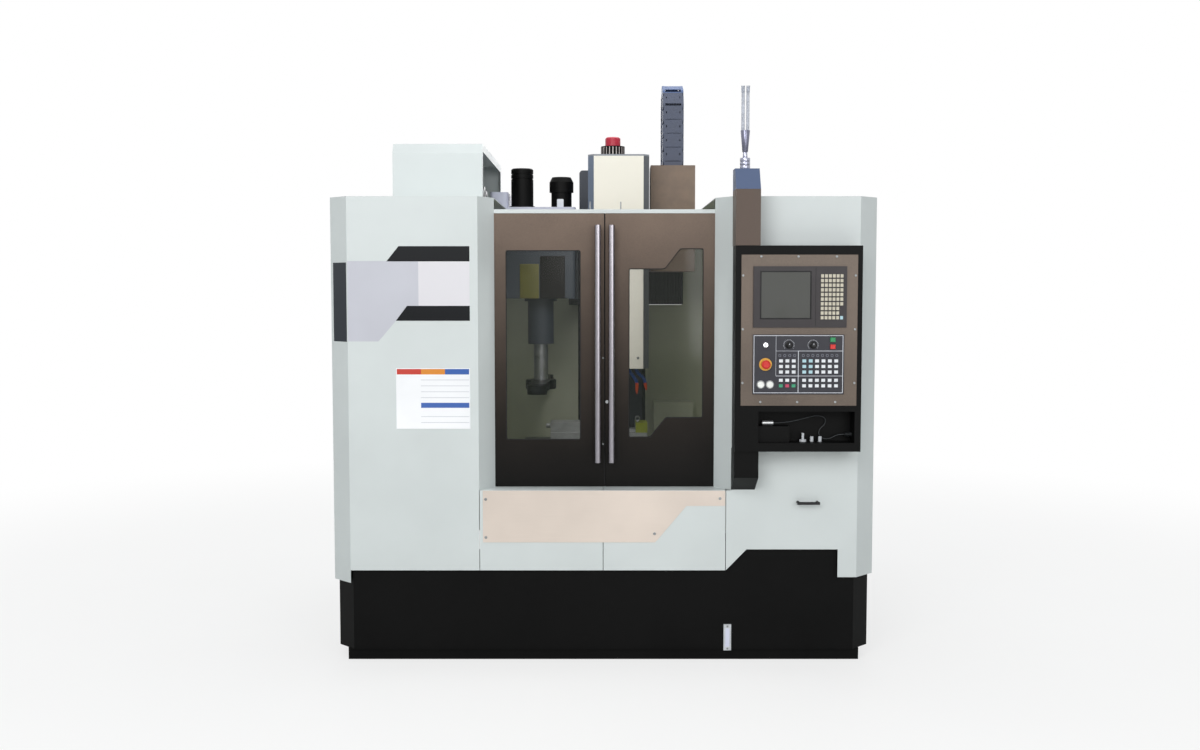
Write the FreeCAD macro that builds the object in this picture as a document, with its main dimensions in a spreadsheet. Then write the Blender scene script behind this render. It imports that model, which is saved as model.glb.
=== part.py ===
"""CNC vertical machining centre: moving table, sliding head, arm tool changer and sheet enclosure.

Millimetres. The origin lies on the floor under the middle of the machine, +Z is up and the
operator stands on the -Y side.
"""
import FreeCAD, Part
import math
import os
import re

import Sketcher

os.makedirs("parts", exist_ok=True)
document = FreeCAD.newDocument("MachiningCentre")
sheet = document.addObject("Spreadsheet::Sheet", "Dimensions")

SIZES = {
    "enclosure": {
        "machine_width": 2600,
        "front_y": -1150,
        "side_rear_y": 640,
        "cabinet_top": 2215,
        "sheet_wall": 4,
        "panel_seam": 3,
        "bottom_flange": 40,
        "ledge_fold": 25,
        "outer_chamfer": 95,
        "door_recess": 120,
        "left_front_edge": 591,
        "left_inner_edge": 523,
        "left_lower_edge": 591,
        "right_front_edge": 610,
        "right_inner_edge": 533,
        "right_lower_edge": 583,
        "left_skirt_z": 382,
        "right_skirt_z": 410,
        "front_bottom_z": 443,
        "ledge_z": 827,
        "notch_top_z": 544,
        "notch_slant": 98,
        "notch_end": 1116,
        "flat_gap": 0.3,
        "slide_gap": 0.5,
    },
    "kick plate": {
        "kick_left": 573,
        "kick_right": 581,
        "kick_low_z": 578,
        "kick_high_z": 753,
        "kick_slant_top": 394,
        "kick_slant_low": 257,
        "kick_thickness": 2,
        "kick_corner": 12,
    },
    "tank": {
        "tank_inset": 20,
        "tank_depth": 480,
        "plinth_height": 57,
        "plinth_inset": 24,
        "pump_cover_left": 586,
        "pump_cover_right": 1150,
        "pump_cover_height": 130,
        "pump_cover_depth": 240,
        "gauge_x": 594,
        "gauge_z": 115,
        "gauge_width": 36,
        "gauge_height": 126,
        "gauge_depth": 9,
    },
    "doors": {
        "door_centre": 6,
        "door_width": 546,
        "door_thickness": 40,
        "door_top": 2142,
        "door_skin": 3,
        "door_meeting_gap": 6,
        "door_stand_off": 4,
        "frame_depth": 68,
        "header_height": 19,
        "frame_post": 22,
        "frame_reach": 1046,
        "left_window_outer": 469,
        "left_window_inner": 109,
        "left_window_low": 1055,
        "left_window_high": 1967,
        "right_window_inner": 121,
        "right_window_outer": 480,
        "right_window_low": 1066,
        "right_window_step_low": 1161,
        "right_window_step_high": 1880,
        "right_window_high": 1976,
        "window_low_slant_in": 227,
        "window_low_slant_out": 302,
        "window_high_slant_in": 293,
        "window_high_slant_out": 367,
        "window_glass": 8,
        "window_round": 10,
        "window_rim": 20,
        "window_seat": 3,
        "door_fold": 30,
        "handle_offset": 33,
        "handle_radius": 15,
        "handle_low": 951,
        "handle_high": 2084,
        "handle_stand_off": 55,
        "handle_post_radius": 7,
        "handle_post_inset": 90,
        "lock_z": 1240,
        "lock_radius": 8,
        "lock_length": 14,
        "lock_slot": 2,
        "lock_slot_depth": 4,
    },
    "cabin": {
        "cabin_left": 900,
        "cabin_right": 1000,
        "cabin_front": -960,
        "cabin_rear": 446,
        "cabin_doorway": 560,
        "cabin_rear_gap": 6,
        "cabin_rear_step_z": 1690,
        "wall_box_left": 300,
        "wall_box_right": 530,
        "wall_box_front": 300,
        "wall_box_low": 940,
        "wall_box_high": 1120,
        "cabin_side_opening_z": 1300,
        "cabin_side_clearance": 5,
        "cabin_floor_left": 400,
        "cabin_floor_right": 510,
        "cabin_floor_reach": 30,
    },
    "castings": {
        "foot_height": 60,
        "base_top": 600,
        "base_front": -620,
        "base_rear": 1150,
        "base_half_front": 475,
        "base_half_rear": 675,
        "base_step_y": 300,
        "base_step_length": 150,
        "base_pocket_low": 200,
        "base_pocket_high": 460,
        "base_pocket_depth": 60,
        "base_pocket_length": 320,
        "base_pocket_pitch": 380,
        "base_pocket_y": 540,
        "screw_bay_depth": 120,
        "screw_bay_end": 60,
        "casting_round": 20,
        "anchor_span_x": 1050,
        "anchor_span_y": 500,
        "anchor_y": -250,
        "anchor_radius": 11,
        "lug_half": 50,
        "lug_height": 60,
        "way_half_span": 300,
        "way_width": 80,
        "way_height": 36,
        "way_front": -600,
        "way_rear": 440,
        "spindle_x": 54,
        "spindle_y": -70,
        "saddle_length": 520,
        "saddle_half_width": 384,
        "saddle_top": 760,
        "saddle_lip": 20,
        "cross_way_span": 180,
        "cross_way_width": 60,
        "cross_way_height": 30,
        "table_length": 1000,
        "table_width": 500,
        "table_top": 930,
        "table_lip_gap": 8,
        "slot_width": 18,
        "slot_pitch": 100,
        "slot_neck": 20,
        "slot_foot_width": 32,
        "slot_foot_height": 14,
        "column_half": 193,
        "column_foot_half": 384,
        "column_front": 470,
        "column_rear": 1130,
        "column_knee_z": 1200,
        "column_top": 2485,
        "column_way_in": 110,
        "column_way_width": 50,
        "column_way_depth": 30,
        "column_way_low": 1120,
        "column_way_high": 2250,
        "column_channel_half": 85,
        "column_channel_depth": 60,
        "foot_inset": 90,
        "foot_rear_inset": 110,
        "foot_radius": 60,
        "foot_plate": 22,
        "foot_cone": 12,
        "foot_screw_radius": 15,
        "foot_nut_radius": 26,
    },
    "vise": {
        "vise_left": 290,
        "vise_right": 245,
        "vise_width": 160,
        "vise_bed_height": 60,
        "vise_jaw_height": 55,
        "vise_fixed_jaw": 65,
        "vise_jaw_gap": 60,
        "vise_moving_jaw": 70,
        "vise_guide_width": 60,
        "vise_guide_height": 18,
        "vise_guide_inset": 20,
        "vise_nut_box_right": -125,
        "vise_nut_box_width": 120,
        "vise_nut_box_height": 58,
        "vise_screw_z": 32,
        "vise_screw_radius": 13,
        "vise_screw_end": 26,
        "vise_clamp_foot": 24,
        "vise_clamp_height": 22,
    },
    "head": {
        "nose_z": 1310,
        "nose_radius": 64,
        "nose_height": 70,
        "nose_bevel": 6,
        "spindle_radius": 45,
        "spindle_top_inset": 20,
        "taper_mouth_radius": 22.2,
        "taper_depth": 65,
        "bore_gap": 0.5,
        "head_low": 1400,
        "head_high": 1960,
        "head_half_width": 120,
        "head_front": -160,
        "slide_half_width": 180,
        "slide_thickness": 40,
        "slide_low": 1440,
        "slide_high": 1950,
        "head_boss_radius": 84,
        "head_boss_height": 12,
        "cover_left": 135,
        "cover_right": 195,
        "cover_front": -250,
        "cover_rear": 130,
        "cover_low": 1351,
        "cover_high": 2505,
        "cover_chamfer": 32,
        "cover_wall": 3,
        "motor_radius": 100,
        "motor_flange": 14,
        "motor_sunk": 60,
        "collar_radius": 65.5,
        "collar_height": 58,
        "collar_groove": 6,
        "collar_slot": 8,
        "collar_slots": 22,
        "collar_rim": 5,
        "cap_radius": 42,
        "cap_height": 50,
        "cap_bevel": 6,
        "manifold_width": 130,
        "manifold_height": 24,
        "manifold_front": 60,
        "manifold_plate": 14,
        "hose_link_radius": 10,
        "hose_link_pitch": 17,
        "hose_bend_radius": 80,
        "hose_pitch_x": 40,
        "hose_edge": 2,
    },
    "cable chain": {
        "chain_box_left": 265,
        "chain_box_right": 512,
        "chain_box_front": -20,
        "chain_box_rear": 140,
        "chain_box_low": 1880,
        "chain_box_high": 2468,
        "chain_x": 392,
        "chain_width": 117,
        "chain_depth": 50,
        "chain_bend_links": 4,
        "chain_front_y": 60,
        "chain_radius": 100.6,
        "chain_plate": 7,
        "chain_lid": 4,
        "chain_seam": 2,
        "chain_slot_width": 5,
        "chain_slot_height": 12,
        "chain_top": 2930,
        "chain_front_links": 8,
        "chain_rear_links": 9,
        "chain_mouth_gap": 6,
        "chain_box_rim": 20,
        "chain_bracket_height": 70,
        "trough_wall": 9,
        "trough_gap": 3,
        "trough_low": 1900,
        "trough_high": 2230,
        "trough_arm_low": 1960,
        "trough_arm_high": 2060,
        "trough_arm_seat": 30,
    },
    "tool changer": {
        "arm_pivot_x": -345,
        "cam_left": -612,
        "cam_right": -150,
        "cam_front": -220,
        "cam_rear": 80,
        "cam_low": 1480,
        "cam_floor": 1731,
        "cam_high": 2225,
        "cam_cover_high": 2305,
        "cam_cover_width": 97,
        "cam_neck_radius": 72,
        "cam_neck_flange": 90,
        "cam_neck_plate": 16,
        "cam_bore_depth": 300,
        "cam_bracket_width": 55,
        "cam_bracket_reach": 130,
        "cam_bracket_low": 1725,
        "cam_bracket_high": 2125,
        "arm_bottom": 1230,
        "arm_thickness": 50,
        "arm_half_width": 55,
        "arm_waist": 34,
        "arm_hub_radius": 85,
        "grip_radius": 31,
        "grip_mouth": 25,
        "shaft_radius": 40,
        "shaft_end_room": 10,
        "arm_nut_radius": 32,
        "arm_nut_height": 14,
        "arm_pin_reach": 10,
        "magazine_motor_x": -445,
        "magazine_motor_radius": 61,
        "magazine_motor_top": 2442,
        "magazine_motor_foot": 8,
        "magazine_motor_foot_plate": 12,
        "motor_ring_width": 6,
        "motor_ring_depth": 5,
        "motor_ring_low": 58,
        "motor_ring_high": 34,
        "motor_top_bevel": 6,
        "arm_motor_x": -229,
        "arm_motor_radius": 66,
        "arm_motor_top": 2395,
        "arm_cowl_step": 10,
        "arm_cowl_height": 82,
        "arm_cowl_slope": 27,
        "arm_cowl_bevel": 14,
        "magazine_left": -1065,
        "magazine_right": -611,
        "magazine_front": -659,
        "magazine_rear": 572,
        "magazine_low": 1330,
        "magazine_high": 2516,
        "magazine_chamfer": 50,
        "magazine_flange": 38,
        "magazine_wall": 3,
        "magazine_side_depth": 20,
        "disc_y": -70,
        "disc_z": 1860,
        "disc_radius": 400,
        "disc_back_x": -790,
        "disc_thickness": 30,
        "hub_radius": 90,
        "hub_depth": 60,
        "axle_radius": 40,
        "axle_end": 20,
        "lightening_radius": 70,
        "lightening_circle": 230,
        "lightening_count": 6,
        "pot_circle": 445,
        "pot_radius": 42,
        "pot_bore": 26,
        "pot_floor": 20,
        "pot_length": 110,
        "pot_count": 24,
        "pot_stand_off": 20,
        "pot_seat": 2,
        "pot_arm_width": 24,
        "pot_arm_root": 20,
        "trunnion_radius": 7,
        "trunnion_ear": 8,
        "trunnion_reach": 16,
    },
    "control": {
        "box_left": 605,
        "box_right": 1187,
        "box_low": 1031,
        "box_high": 1980,
        "box_front": -1300,
        "box_back": -1172,
        "swing_x": 659,
        "swing_y": -1234,
        "swing_pin_radius": 20,
        "swing_pin_length": 18,
        "arm_right": 718,
        "upper_arm_knee_z": 2235,
        "upper_arm_top": 2335,
        "upper_arm_top_depth": 90,
        "lower_arm_front": -1285,
        "lower_arm_knee_z": 907,
        "lower_arm_low": 831,
        "tray_left": 714,
        "tray_right": 1158,
        "tray_low": 1071,
        "tray_high": 1217,
        "tray_depth": 100,
        "tray_block_right": 862,
        "tray_block_top": 1146,
        "tray_block_depth": 70,
        "tray_stud_x": 930,
        "tray_stud_inset": 35,
        "tray_stud_radius": 16,
        "tray_stud_height": 10,
        "tray_pin_radius": 6,
        "tray_pin_height": 40,
        "tray_post_x": 972,
        "tray_post_pitch": 38,
        "tray_post_radius": 8,
        "tray_post_height": 24,
        "plate_left": 631,
        "plate_right": 1164,
        "plate_low": 1245,
        "plate_high": 1938,
        "plate_thickness": 4,
        "display_left": 685,
        "display_right": 1113,
        "display_low": 1605,
        "display_high": 1885,
        "display_depth": 8,
        "glass_left": 720,
        "glass_right": 947,
        "glass_low": 1647,
        "glass_high": 1860,
        "glass_depth": 3,
        "key_left": 1000,
        "key_high": 1841,
        "key_pitch_x": 17.8,
        "key_pitch_z": 21.2,
        "key_width": 14,
        "key_height": 16,
        "key_rise": 2.5,
        "operator_left": 685,
        "operator_right": 1104,
        "operator_low": 1298,
        "operator_high": 1573,
        "operator_depth": 6,
    },
    "operator controls": {
        "upper_row_z": 1525,
        "key_switch_x": 743,
        "feed_knob_x": 850,
        "spindle_knob_x": 961,
        "knob_radius": 17,
        "knob_skirt": 6,
        "knob_grip_radius": 13,
        "knob_top_bevel": 3,
        "knob_height": 24,
        "knob_flute": 1.2,
        "knob_flute_width": 3,
        "knob_flutes": 12,
        "key_barrel_radius": 12,
        "key_collar_height": 7,
        "key_collar_bevel": 2,
        "key_blade_half": 1.5,
        "key_blade_reach": 30,
        "key_blade_height": 18,
        "stop_z": 1436,
        "stop_radius": 20,
        "stop_ring_radius": 29,
        "stop_rise": 38,
        "stop_ring_rise": 4,
        "stop_stem_radius": 12,
        "stop_skirt_bevel": 2,
        "stop_crown_height": 8,
        "stop_crown_bevel": 7,
        "push_x": 1051,
        "green_z": 1549,
        "red_z": 1517,
        "push_width": 24,
        "push_height": 21,
        "push_bevel": 2,
        "push_rise": 9,
        "round_left_x": 722,
        "round_right_x": 764,
        "round_z": 1343,
        "round_radius": 15,
        "button_travel": 6,
        "button_depth": 10,
        "pad_left": 814,
        "pad_right": 921,
        "pad_high": 1452,
        "pad_low": 1363,
        "pad_pitch_x": 29.3,
        "pad_pitch_z": 25.5,
        "pad_key": 20,
        "pad_key_height": 17,
    },
    "small parts": {
        "lamp_x": 655,
        "lamp_y": -1200,
        "lamp_base_radius": 23.5,
        "lamp_base_height": 51,
        "lamp_neck_radius": 9.5,
        "lamp_neck_height": 28,
        "lamp_sleeve_radius": 22,
        "lamp_sleeve_foot": 13,
        "lamp_sleeve_height": 99,
        "lamp_tube_radius": 8,
        "lamp_tube_offset": 11,
        "lamp_tube_height": 209,
        "pull_left": 916,
        "pull_right": 1022,
        "pull_z": 771,
        "pull_radius": 7,
        "pull_stand_off": 36,
    },
    "electrical cabinet": {
        "electric_left": 620,
        "electric_rear": 1280,
        "electric_top": 2150,
        "electric_wall": 3,
        "electric_door": 20,
        "electric_door_skin": 3,
        "electric_door_edge": 14,
        "electric_door_gap": 2,
        "electric_plate_inset": 40,
        "electric_plate": 6,
        "louvre_width": 260,
        "louvre_height": 6,
        "louvre_pitch": 18,
        "louvre_count": 7,
        "louvre_low": 760,
        "hinge_radius": 8,
        "hinge_pin_radius": 4,
        "hinge_edge": 1,
        "hinge_strap": 6,
        "hinge_block_depth": 20,
        "hinge_low_inset": 200,
        "hinge_high_inset": 300,
        "knuckle_height": 40,
        "switch_x": 760,
        "switch_z": 1700,
        "switch_radius": 32,
        "switch_rose": 12,
        "switch_grip_half": 7,
        "switch_grip_inset": 3,
        "switch_rise": 48,
    },
    "tray cable": {
        "cable_radius": 2.5,
        "plug_radius": 12,
        "plug_length": 50,
        "relief_radius": 7,
    },
}

ALIASES = {alias for group in SIZES.values() for alias in group}
FINISHED = {}


def write_sizes():
    """Fill the sheet with one named row for each driving dimension."""
    row = 1
    for heading, group in SIZES.items():
        sheet.set(f"A{row}", heading)
        row += 1
        for alias, number in group.items():
            sheet.set(f"A{row}", alias)
            sheet.set(f"B{row}", str(number))
            sheet.setAlias(f"B{row}", alias)
            row += 1
    document.recompute()


def size(alias):
    """The number that the sheet holds under this name."""
    return float(sheet.get(alias))


def bound(expression):
    """The expression with the sheet's name in front of every alias."""
    return re.sub(r"[a-z_][a-z0-9_]*",
                  lambda word: "Dimensions." + word.group() if word.group() in ALIASES else word.group(),
                  str(expression))


def finish(name, item):
    """Give the finished sub-part the name of its file."""
    item.Label = name
    FINISHED[name] = item
    return item


def place(item, x, y, z):
    """Bind the placement of an item to three expressions."""
    item.setExpression("Placement.Base.x", bound(x))
    item.setExpression("Placement.Base.y", bound(y))
    item.setExpression("Placement.Base.z", bound(z))


def box(name, x, y, z):
    """A block between a low and a high expression along each axis."""
    item = document.addObject("Part::Box", name)
    for side, (low, high) in zip(("Length", "Width", "Height"), (x, y, z)):
        item.setExpression(side, bound(f"({high}) - ({low})"))
    place(item, x[0], y[0], z[0])
    return item


AXIS_TURNS = {
    "x": FreeCAD.Rotation(FreeCAD.Vector(0, 1, 0), 90),
    "y": FreeCAD.Rotation(FreeCAD.Vector(1, 0, 0), -90),
    "z": FreeCAD.Rotation(),
}


def along(axis, centre, start):
    """The base point of something turned about an axis: its centre line and where it starts."""
    first, second = centre
    return {"x": (start, first, second), "y": (first, start, second), "z": (first, second, start)}[axis]


def cylinder(name, radius, axis, centre, low, high):
    """A round bar about a line along one axis, between two expressions on it."""
    item = document.addObject("Part::Cylinder", name)
    item.setExpression("Radius", bound(radius))
    item.setExpression("Height", bound(f"({high}) - ({low})"))
    item.Placement.Rotation = AXIS_TURNS[axis]
    place(item, *along(axis, centre, low))
    return item


def cone(name, low_radius, high_radius, axis, centre, low, high):
    """A tapered round bar between two expressions on an axis."""
    item = document.addObject("Part::Cone", name)
    item.setExpression("Radius1", bound(low_radius))
    item.setExpression("Radius2", bound(high_radius))
    item.setExpression("Height", bound(f"({high}) - ({low})"))
    item.Placement.Rotation = AXIS_TURNS[axis]
    place(item, *along(axis, centre, low))
    return item


def origin_plane(body, role):
    """One of the body's own origin planes."""
    return next(item for item in body.Origin.OriginFeatures if item.Role == role)


def outline(body, plane, corners, offset):
    """A closed sketch on an origin plane of the body, with each corner bound to the sheet."""
    sketch = body.newObject("Sketcher::SketchObject", body.Name + "_outline")
    sketch.AttachmentSupport = [(origin_plane(body, plane), "")]
    sketch.MapMode = "FlatFace"
    sketch.setExpression("AttachmentOffset.Base.z", bound(offset))
    count = len(corners)
    ring = [FreeCAD.Vector(math.cos(turn), math.sin(turn), 0) * 100
            for turn in (2 * math.pi * index / count for index in range(count))]
    for index in range(count):
        sketch.addGeometry(Part.LineSegment(ring[index], ring[(index + 1) % count]))
    for index in range(count):
        sketch.addConstraint(Sketcher.Constraint("Coincident", index, 2, (index + 1) % count, 1))
    for index, (across, up) in enumerate(corners):
        for kind, expression in (("DistanceX", across), ("DistanceY", up)):
            row = sketch.addConstraint(Sketcher.Constraint(kind, -1, 1, index, 1, 1.0))
            sketch.setExpression(f"Constraints[{row}]", bound(expression))
    return sketch


def plane_offset(plane, low):
    """How far a sketch moves along its plane's normal so that its feature starts at low."""
    return f"-({low})" if plane == "XZ_Plane" else str(low)


def pad(name, plane, corners, low, high):
    """A body whose outline is padded between two expressions across its plane."""
    body = document.addObject("PartDesign::Body", name)
    feature = body.newObject("PartDesign::Pad", name + "_pad")
    sketch = outline(body, plane, corners, plane_offset(plane, low))
    feature.Profile = sketch
    feature.setExpression("Length", bound(f"({high}) - ({low})"))
    feature.Reversed = plane == "XZ_Plane"
    body.Tip = feature
    return body


def turned(name, axis, centre, start, profile):
    """A body turned from (radius, distance) corners about a line along one axis."""
    body = document.addObject("PartDesign::Body", name)
    sketch = outline(body, "XZ_Plane", profile, "0")
    feature = body.newObject("PartDesign::Revolution", name + "_turn")
    feature.Profile = sketch
    feature.ReferenceAxis = (sketch, ["V_Axis"])
    feature.Angle = 360
    body.Tip = feature
    body.Placement.Rotation = AXIS_TURNS[axis]
    place(body, *along(axis, centre, start))
    return body


def joined(name, *items):
    """Several shapes fused into one."""
    item = document.addObject("Part::MultiFuse", name)
    item.Shapes = list(items)
    item.Refine = True
    return item


def cut(name, base, *tools):
    """A shape with one or more others taken away."""
    item = document.addObject("Part::Cut", name)
    item.Base = base
    item.Tool = tools[0] if len(tools) == 1 else joined(name + "_tools", *tools)
    item.Refine = True
    return item


def group(name, *items):
    """Separate solids that share one node."""
    item = document.addObject("Part::Compound", name)
    item.Links = list(items)
    return item


AXIS_DIRECTIONS = {
    "x": FreeCAD.Vector(1, 0, 0),
    "y": FreeCAD.Vector(0, 1, 0),
    "z": FreeCAD.Vector(0, 0, 1),
}


def runs_along(axis):
    """A test for the straight edges that run along one axis."""
    def test(edge):
        if not isinstance(edge.Curve, Part.Line):
            return False
        return abs(edge.tangentAt(edge.FirstParameter).dot(AXIS_DIRECTIONS[axis])) > 0.999
    return test


def eased(kind, name, base, reach, chosen):
    """The item with its chosen edges rounded (Part::Fillet) or bevelled (Part::Chamfer)."""
    document.recompute()
    item = document.addObject(kind, name)
    item.Base = base
    item.Edges = [(index, size(reach), size(reach))
                  for index, edge in enumerate(base.Shape.Edges, 1) if chosen(edge)]
    return item


def slotted(body, corners, high, depth, count):
    """Sink one slot into a turned body from a height, and repeat it round the body's axis."""
    axis = (body.Tip.Profile[0], ["V_Axis"])
    sketch = outline(body, "XY_Plane", corners, high)
    slot = body.newObject("PartDesign::Pocket", body.Name + "_slot")
    slot.Profile = sketch
    slot.setExpression("Length", bound(depth))
    pattern = body.newObject("PartDesign::PolarPattern", body.Name + "_slots")
    pattern.Originals = [slot]
    pattern.Axis = axis
    pattern.Angle = 360
    pattern.setExpression("Occurrences", bound(count))
    body.Tip = pattern
    return body


# Places that several sub-parts share
DOOR_FACE = "front_y + door_recess"
DOOR_BACK = "front_y + door_recess + door_thickness"
FRAME_FRONT = "front_y + door_recess - door_stand_off"
DOOR_LOW = "ledge_z + slide_gap"
HALF = "machine_width / 2"
PLATE_FACE = "box_front - plate_thickness"
OPERATOR_FACE = "box_front - plate_thickness - operator_depth"
WAY_TOP = "base_top + way_height"
CROSS_WAY_TOP = "saddle_top + cross_way_height"
COLUMN_WAY_FACE = "column_front - column_way_depth"
SQUARE_BUTTONS = {
    "green_button": ("push_x", "green_z"),
    "red_button": ("push_x", "red_z"),
}
ROUND_BUTTONS = {
    "left_round_button": ("round_left_x", "round_z"),
    "right_round_button": ("round_right_x", "round_z"),
}
CHAIN_REAR_FACE = "chain_front_y + 2 * chain_radius + chain_depth / 2"
BUTTON_BACK = "box_front - flat_gap - button_travel"
ARM_REACH = "spindle_x - arm_pivot_x"


def cabinet(name, side, front_edge, inner_edge, skirt_z):
    """One front cabinet: a folded sheet with an outer and an inner chamfer and a closed top."""
    corner = "0.414 * sheet_wall"
    outer = [
        (f"{side} * {HALF}", "side_rear_y"),
        (f"{side} * {HALF}", "front_y + outer_chamfer"),
        (f"{side} * ({HALF} - outer_chamfer)", "front_y"),
        (f"{side} * {front_edge}", "front_y"),
        (f"{side} * {inner_edge}", FRAME_FRONT),
        (f"{side} * {inner_edge}", "side_rear_y"),
    ]
    inner = [
        (f"{side} * ({HALF} - sheet_wall)", "side_rear_y + 1"),
        (f"{side} * ({HALF} - sheet_wall)", f"front_y + outer_chamfer + {corner}"),
        (f"{side} * ({HALF} - outer_chamfer - {corner})", "front_y + sheet_wall"),
        (f"{side} * ({front_edge} + 0.58 * sheet_wall)", "front_y + sheet_wall"),
        (f"{side} * ({inner_edge} + 1.15 * sheet_wall)", FRAME_FRONT),
        (f"{side} * ({inner_edge} - 1)", FRAME_FRONT),
        (f"{side} * ({inner_edge} - 1)", "side_rear_y + 1"),
    ]
    foot = inner[:3] + [
        (f"{side} * ({HALF} - outer_chamfer - {corner})", "front_y + bottom_flange"),
        (f"{side} * ({inner_edge} - 1)", "front_y + bottom_flange"),
        (f"{side} * ({inner_edge} - 1)", "side_rear_y + 1"),
    ]
    shell = pad(name + "_shell", "XY_Plane", outer, skirt_z, "cabinet_top")
    hollow = pad(name + "_hollow", "XY_Plane", inner, "front_bottom_z + sheet_wall", "cabinet_top - sheet_wall")
    mouth = pad(name + "_mouth", "XY_Plane", foot, f"{skirt_z} - 1", "front_bottom_z + 2 * sheet_wall")
    return shell, hollow, mouth


def span(side, low, high):
    """A pair of expressions on one side of the middle, in rising order."""
    return (f"-({high})", f"-({low})") if side < 0 else (low, high)


def left_cabinet():
    shell, hollow, mouth = cabinet("left_cabinet", -1, "left_front_edge", "left_inner_edge", "left_skirt_z")
    below = box("left_cabinet_below", span(-1, "0", f"{HALF} - outer_chamfer"),
                ("front_y - 1", "side_rear_y - 1"), ("left_skirt_z - 1", "front_bottom_z"))
    panel_room = box("left_cabinet_panel_room", span(-1, "0", "left_lower_edge"),
                     ("front_y - 1", FRAME_FRONT + " + 1"), ("left_skirt_z - 1", "ledge_z"))
    magazine_hole = box("left_cabinet_magazine_hole", ("magazine_left", "magazine_right"),
                        ("magazine_front", "magazine_rear"), ("cabinet_top - 50", "cabinet_top + 1"))
    case_hole = box("left_cabinet_case_hole", ("magazine_right - 1", "-left_inner_edge + 1"),
                    ("cam_front - panel_seam", "cam_rear + panel_seam"), ("cabinet_top - 50", "cabinet_top + 1"))
    finish("left_cabinet", cut("left_cabinet_cut", shell, hollow, mouth, below, panel_room, magazine_hole,
                               case_hole))


def right_cabinet():
    shell, hollow, mouth = cabinet("right_cabinet", 1, "right_front_edge", "right_inner_edge", "right_skirt_z")
    notch = pad("right_cabinet_notch", "XZ_Plane", [
        ("0", "right_skirt_z - 1"),
        ("0", "front_bottom_z"),
        ("right_lower_edge", "front_bottom_z"),
        ("right_lower_edge + notch_slant", "notch_top_z"),
        ("notch_end", "notch_top_z"),
        ("notch_end", "right_skirt_z - 1"),
    ], "front_y - 1", "front_y + bottom_flange + 1")
    below = box("right_cabinet_below", ("0", f"{HALF} - outer_chamfer"),
                ("front_y + sheet_wall", "side_rear_y - 1"), ("right_skirt_z - 1", "front_bottom_z"))
    pump_room = box("right_cabinet_pump_room", ("0", "pump_cover_right + panel_seam"),
                    ("front_y + sheet_wall", "side_rear_y - 1"),
                    ("front_bottom_z - 1", "front_bottom_z + 2 * sheet_wall"))
    panel_room = box("right_cabinet_panel_room", ("0", "right_front_edge + 3 * sheet_wall"),
                     ("front_y - 1", FRAME_FRONT + " + 1"), ("right_skirt_z - 1", "ledge_z"))
    strip = box("right_cabinet_strip", ("right_lower_edge", "right_front_edge + 3 * sheet_wall"),
                ("front_y", "front_y + sheet_wall"), ("front_bottom_z", "ledge_z"))
    trimmed = cut("right_cabinet_trimmed", shell, hollow, mouth, below, pump_room, panel_room)
    finish("right_cabinet", cut("right_cabinet_cut", joined("right_cabinet_joined", trimmed, strip), notch))


def lower_front_panels():
    """Two folded panels under the doors, with a ledge on top and a flange below."""
    profile = [
        ("front_y", "front_bottom_z"),
        ("front_y", "ledge_z"),
        (FRAME_FRONT, "ledge_z"),
        (FRAME_FRONT, "ledge_z - ledge_fold"),
        (FRAME_FRONT + " - sheet_wall", "ledge_z - ledge_fold"),
        (FRAME_FRONT + " - sheet_wall", "ledge_z - sheet_wall"),
        ("front_y + sheet_wall", "ledge_z - sheet_wall"),
        ("front_y + sheet_wall", "front_bottom_z + sheet_wall"),
        ("front_y + bottom_flange", "front_bottom_z + sheet_wall"),
        ("front_y + bottom_flange", "front_bottom_z"),
    ]
    left = pad("lower_left_panel", "YZ_Plane", profile, "-left_lower_edge + panel_seam", "-panel_seam")
    right = pad("lower_right_panel", "YZ_Plane", profile, "0", "right_lower_edge - panel_seam")
    finish("lower_front_panels", group("lower_front_panels_group", left, right))


def kick_plate():
    finish("kick_plate", pad("kick_plate_body", "XZ_Plane", [
        ("-kick_left", "kick_low_z"),
        ("-kick_left", "ledge_z - 1"),
        ("kick_right - panel_seam", "ledge_z - 1"),
        ("kick_right - panel_seam", "kick_high_z"),
        ("kick_slant_top", "kick_high_z"),
        ("kick_slant_low", "kick_low_z + kick_corner"),
        ("kick_slant_low - kick_corner", "kick_low_z"),
    ], "front_y - kick_thickness", "front_y"))


def coolant_tank():
    """The black tank in front of the base, on a set-back plinth, with its pump cover."""
    corner = "0.414 * tank_inset"
    plan = [
        (f"-({HALF} - tank_inset)", "front_y + tank_inset + tank_depth"),
        (f"-({HALF} - tank_inset)", f"front_y + outer_chamfer + {corner}"),
        (f"-({HALF} - outer_chamfer - {corner})", "front_y + tank_inset"),
        (f"{HALF} - outer_chamfer - {corner}", "front_y + tank_inset"),
        (f"{HALF} - tank_inset", f"front_y + outer_chamfer + {corner}"),
        (f"{HALF} - tank_inset", "front_y + tank_inset + tank_depth"),
    ]
    body = pad("tank_body", "XY_Plane", plan, "plinth_height", "front_bottom_z")
    reach = f"{HALF} - outer_chamfer + plinth_inset"
    plinth = box("tank_plinth", (f"-({reach})", reach),
                 ("front_y + tank_inset + plinth_inset", "front_y + tank_inset + tank_depth - plinth_inset"),
                 ("0", "plinth_height"))
    pump_cover = box("pump_cover", ("pump_cover_left", "pump_cover_right"),
                     ("front_y + tank_inset", "front_y + tank_inset + pump_cover_depth"),
                     ("front_bottom_z", "front_bottom_z + pump_cover_height"))
    finish("coolant_tank", joined("coolant_tank_fuse", body, plinth, pump_cover))


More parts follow.
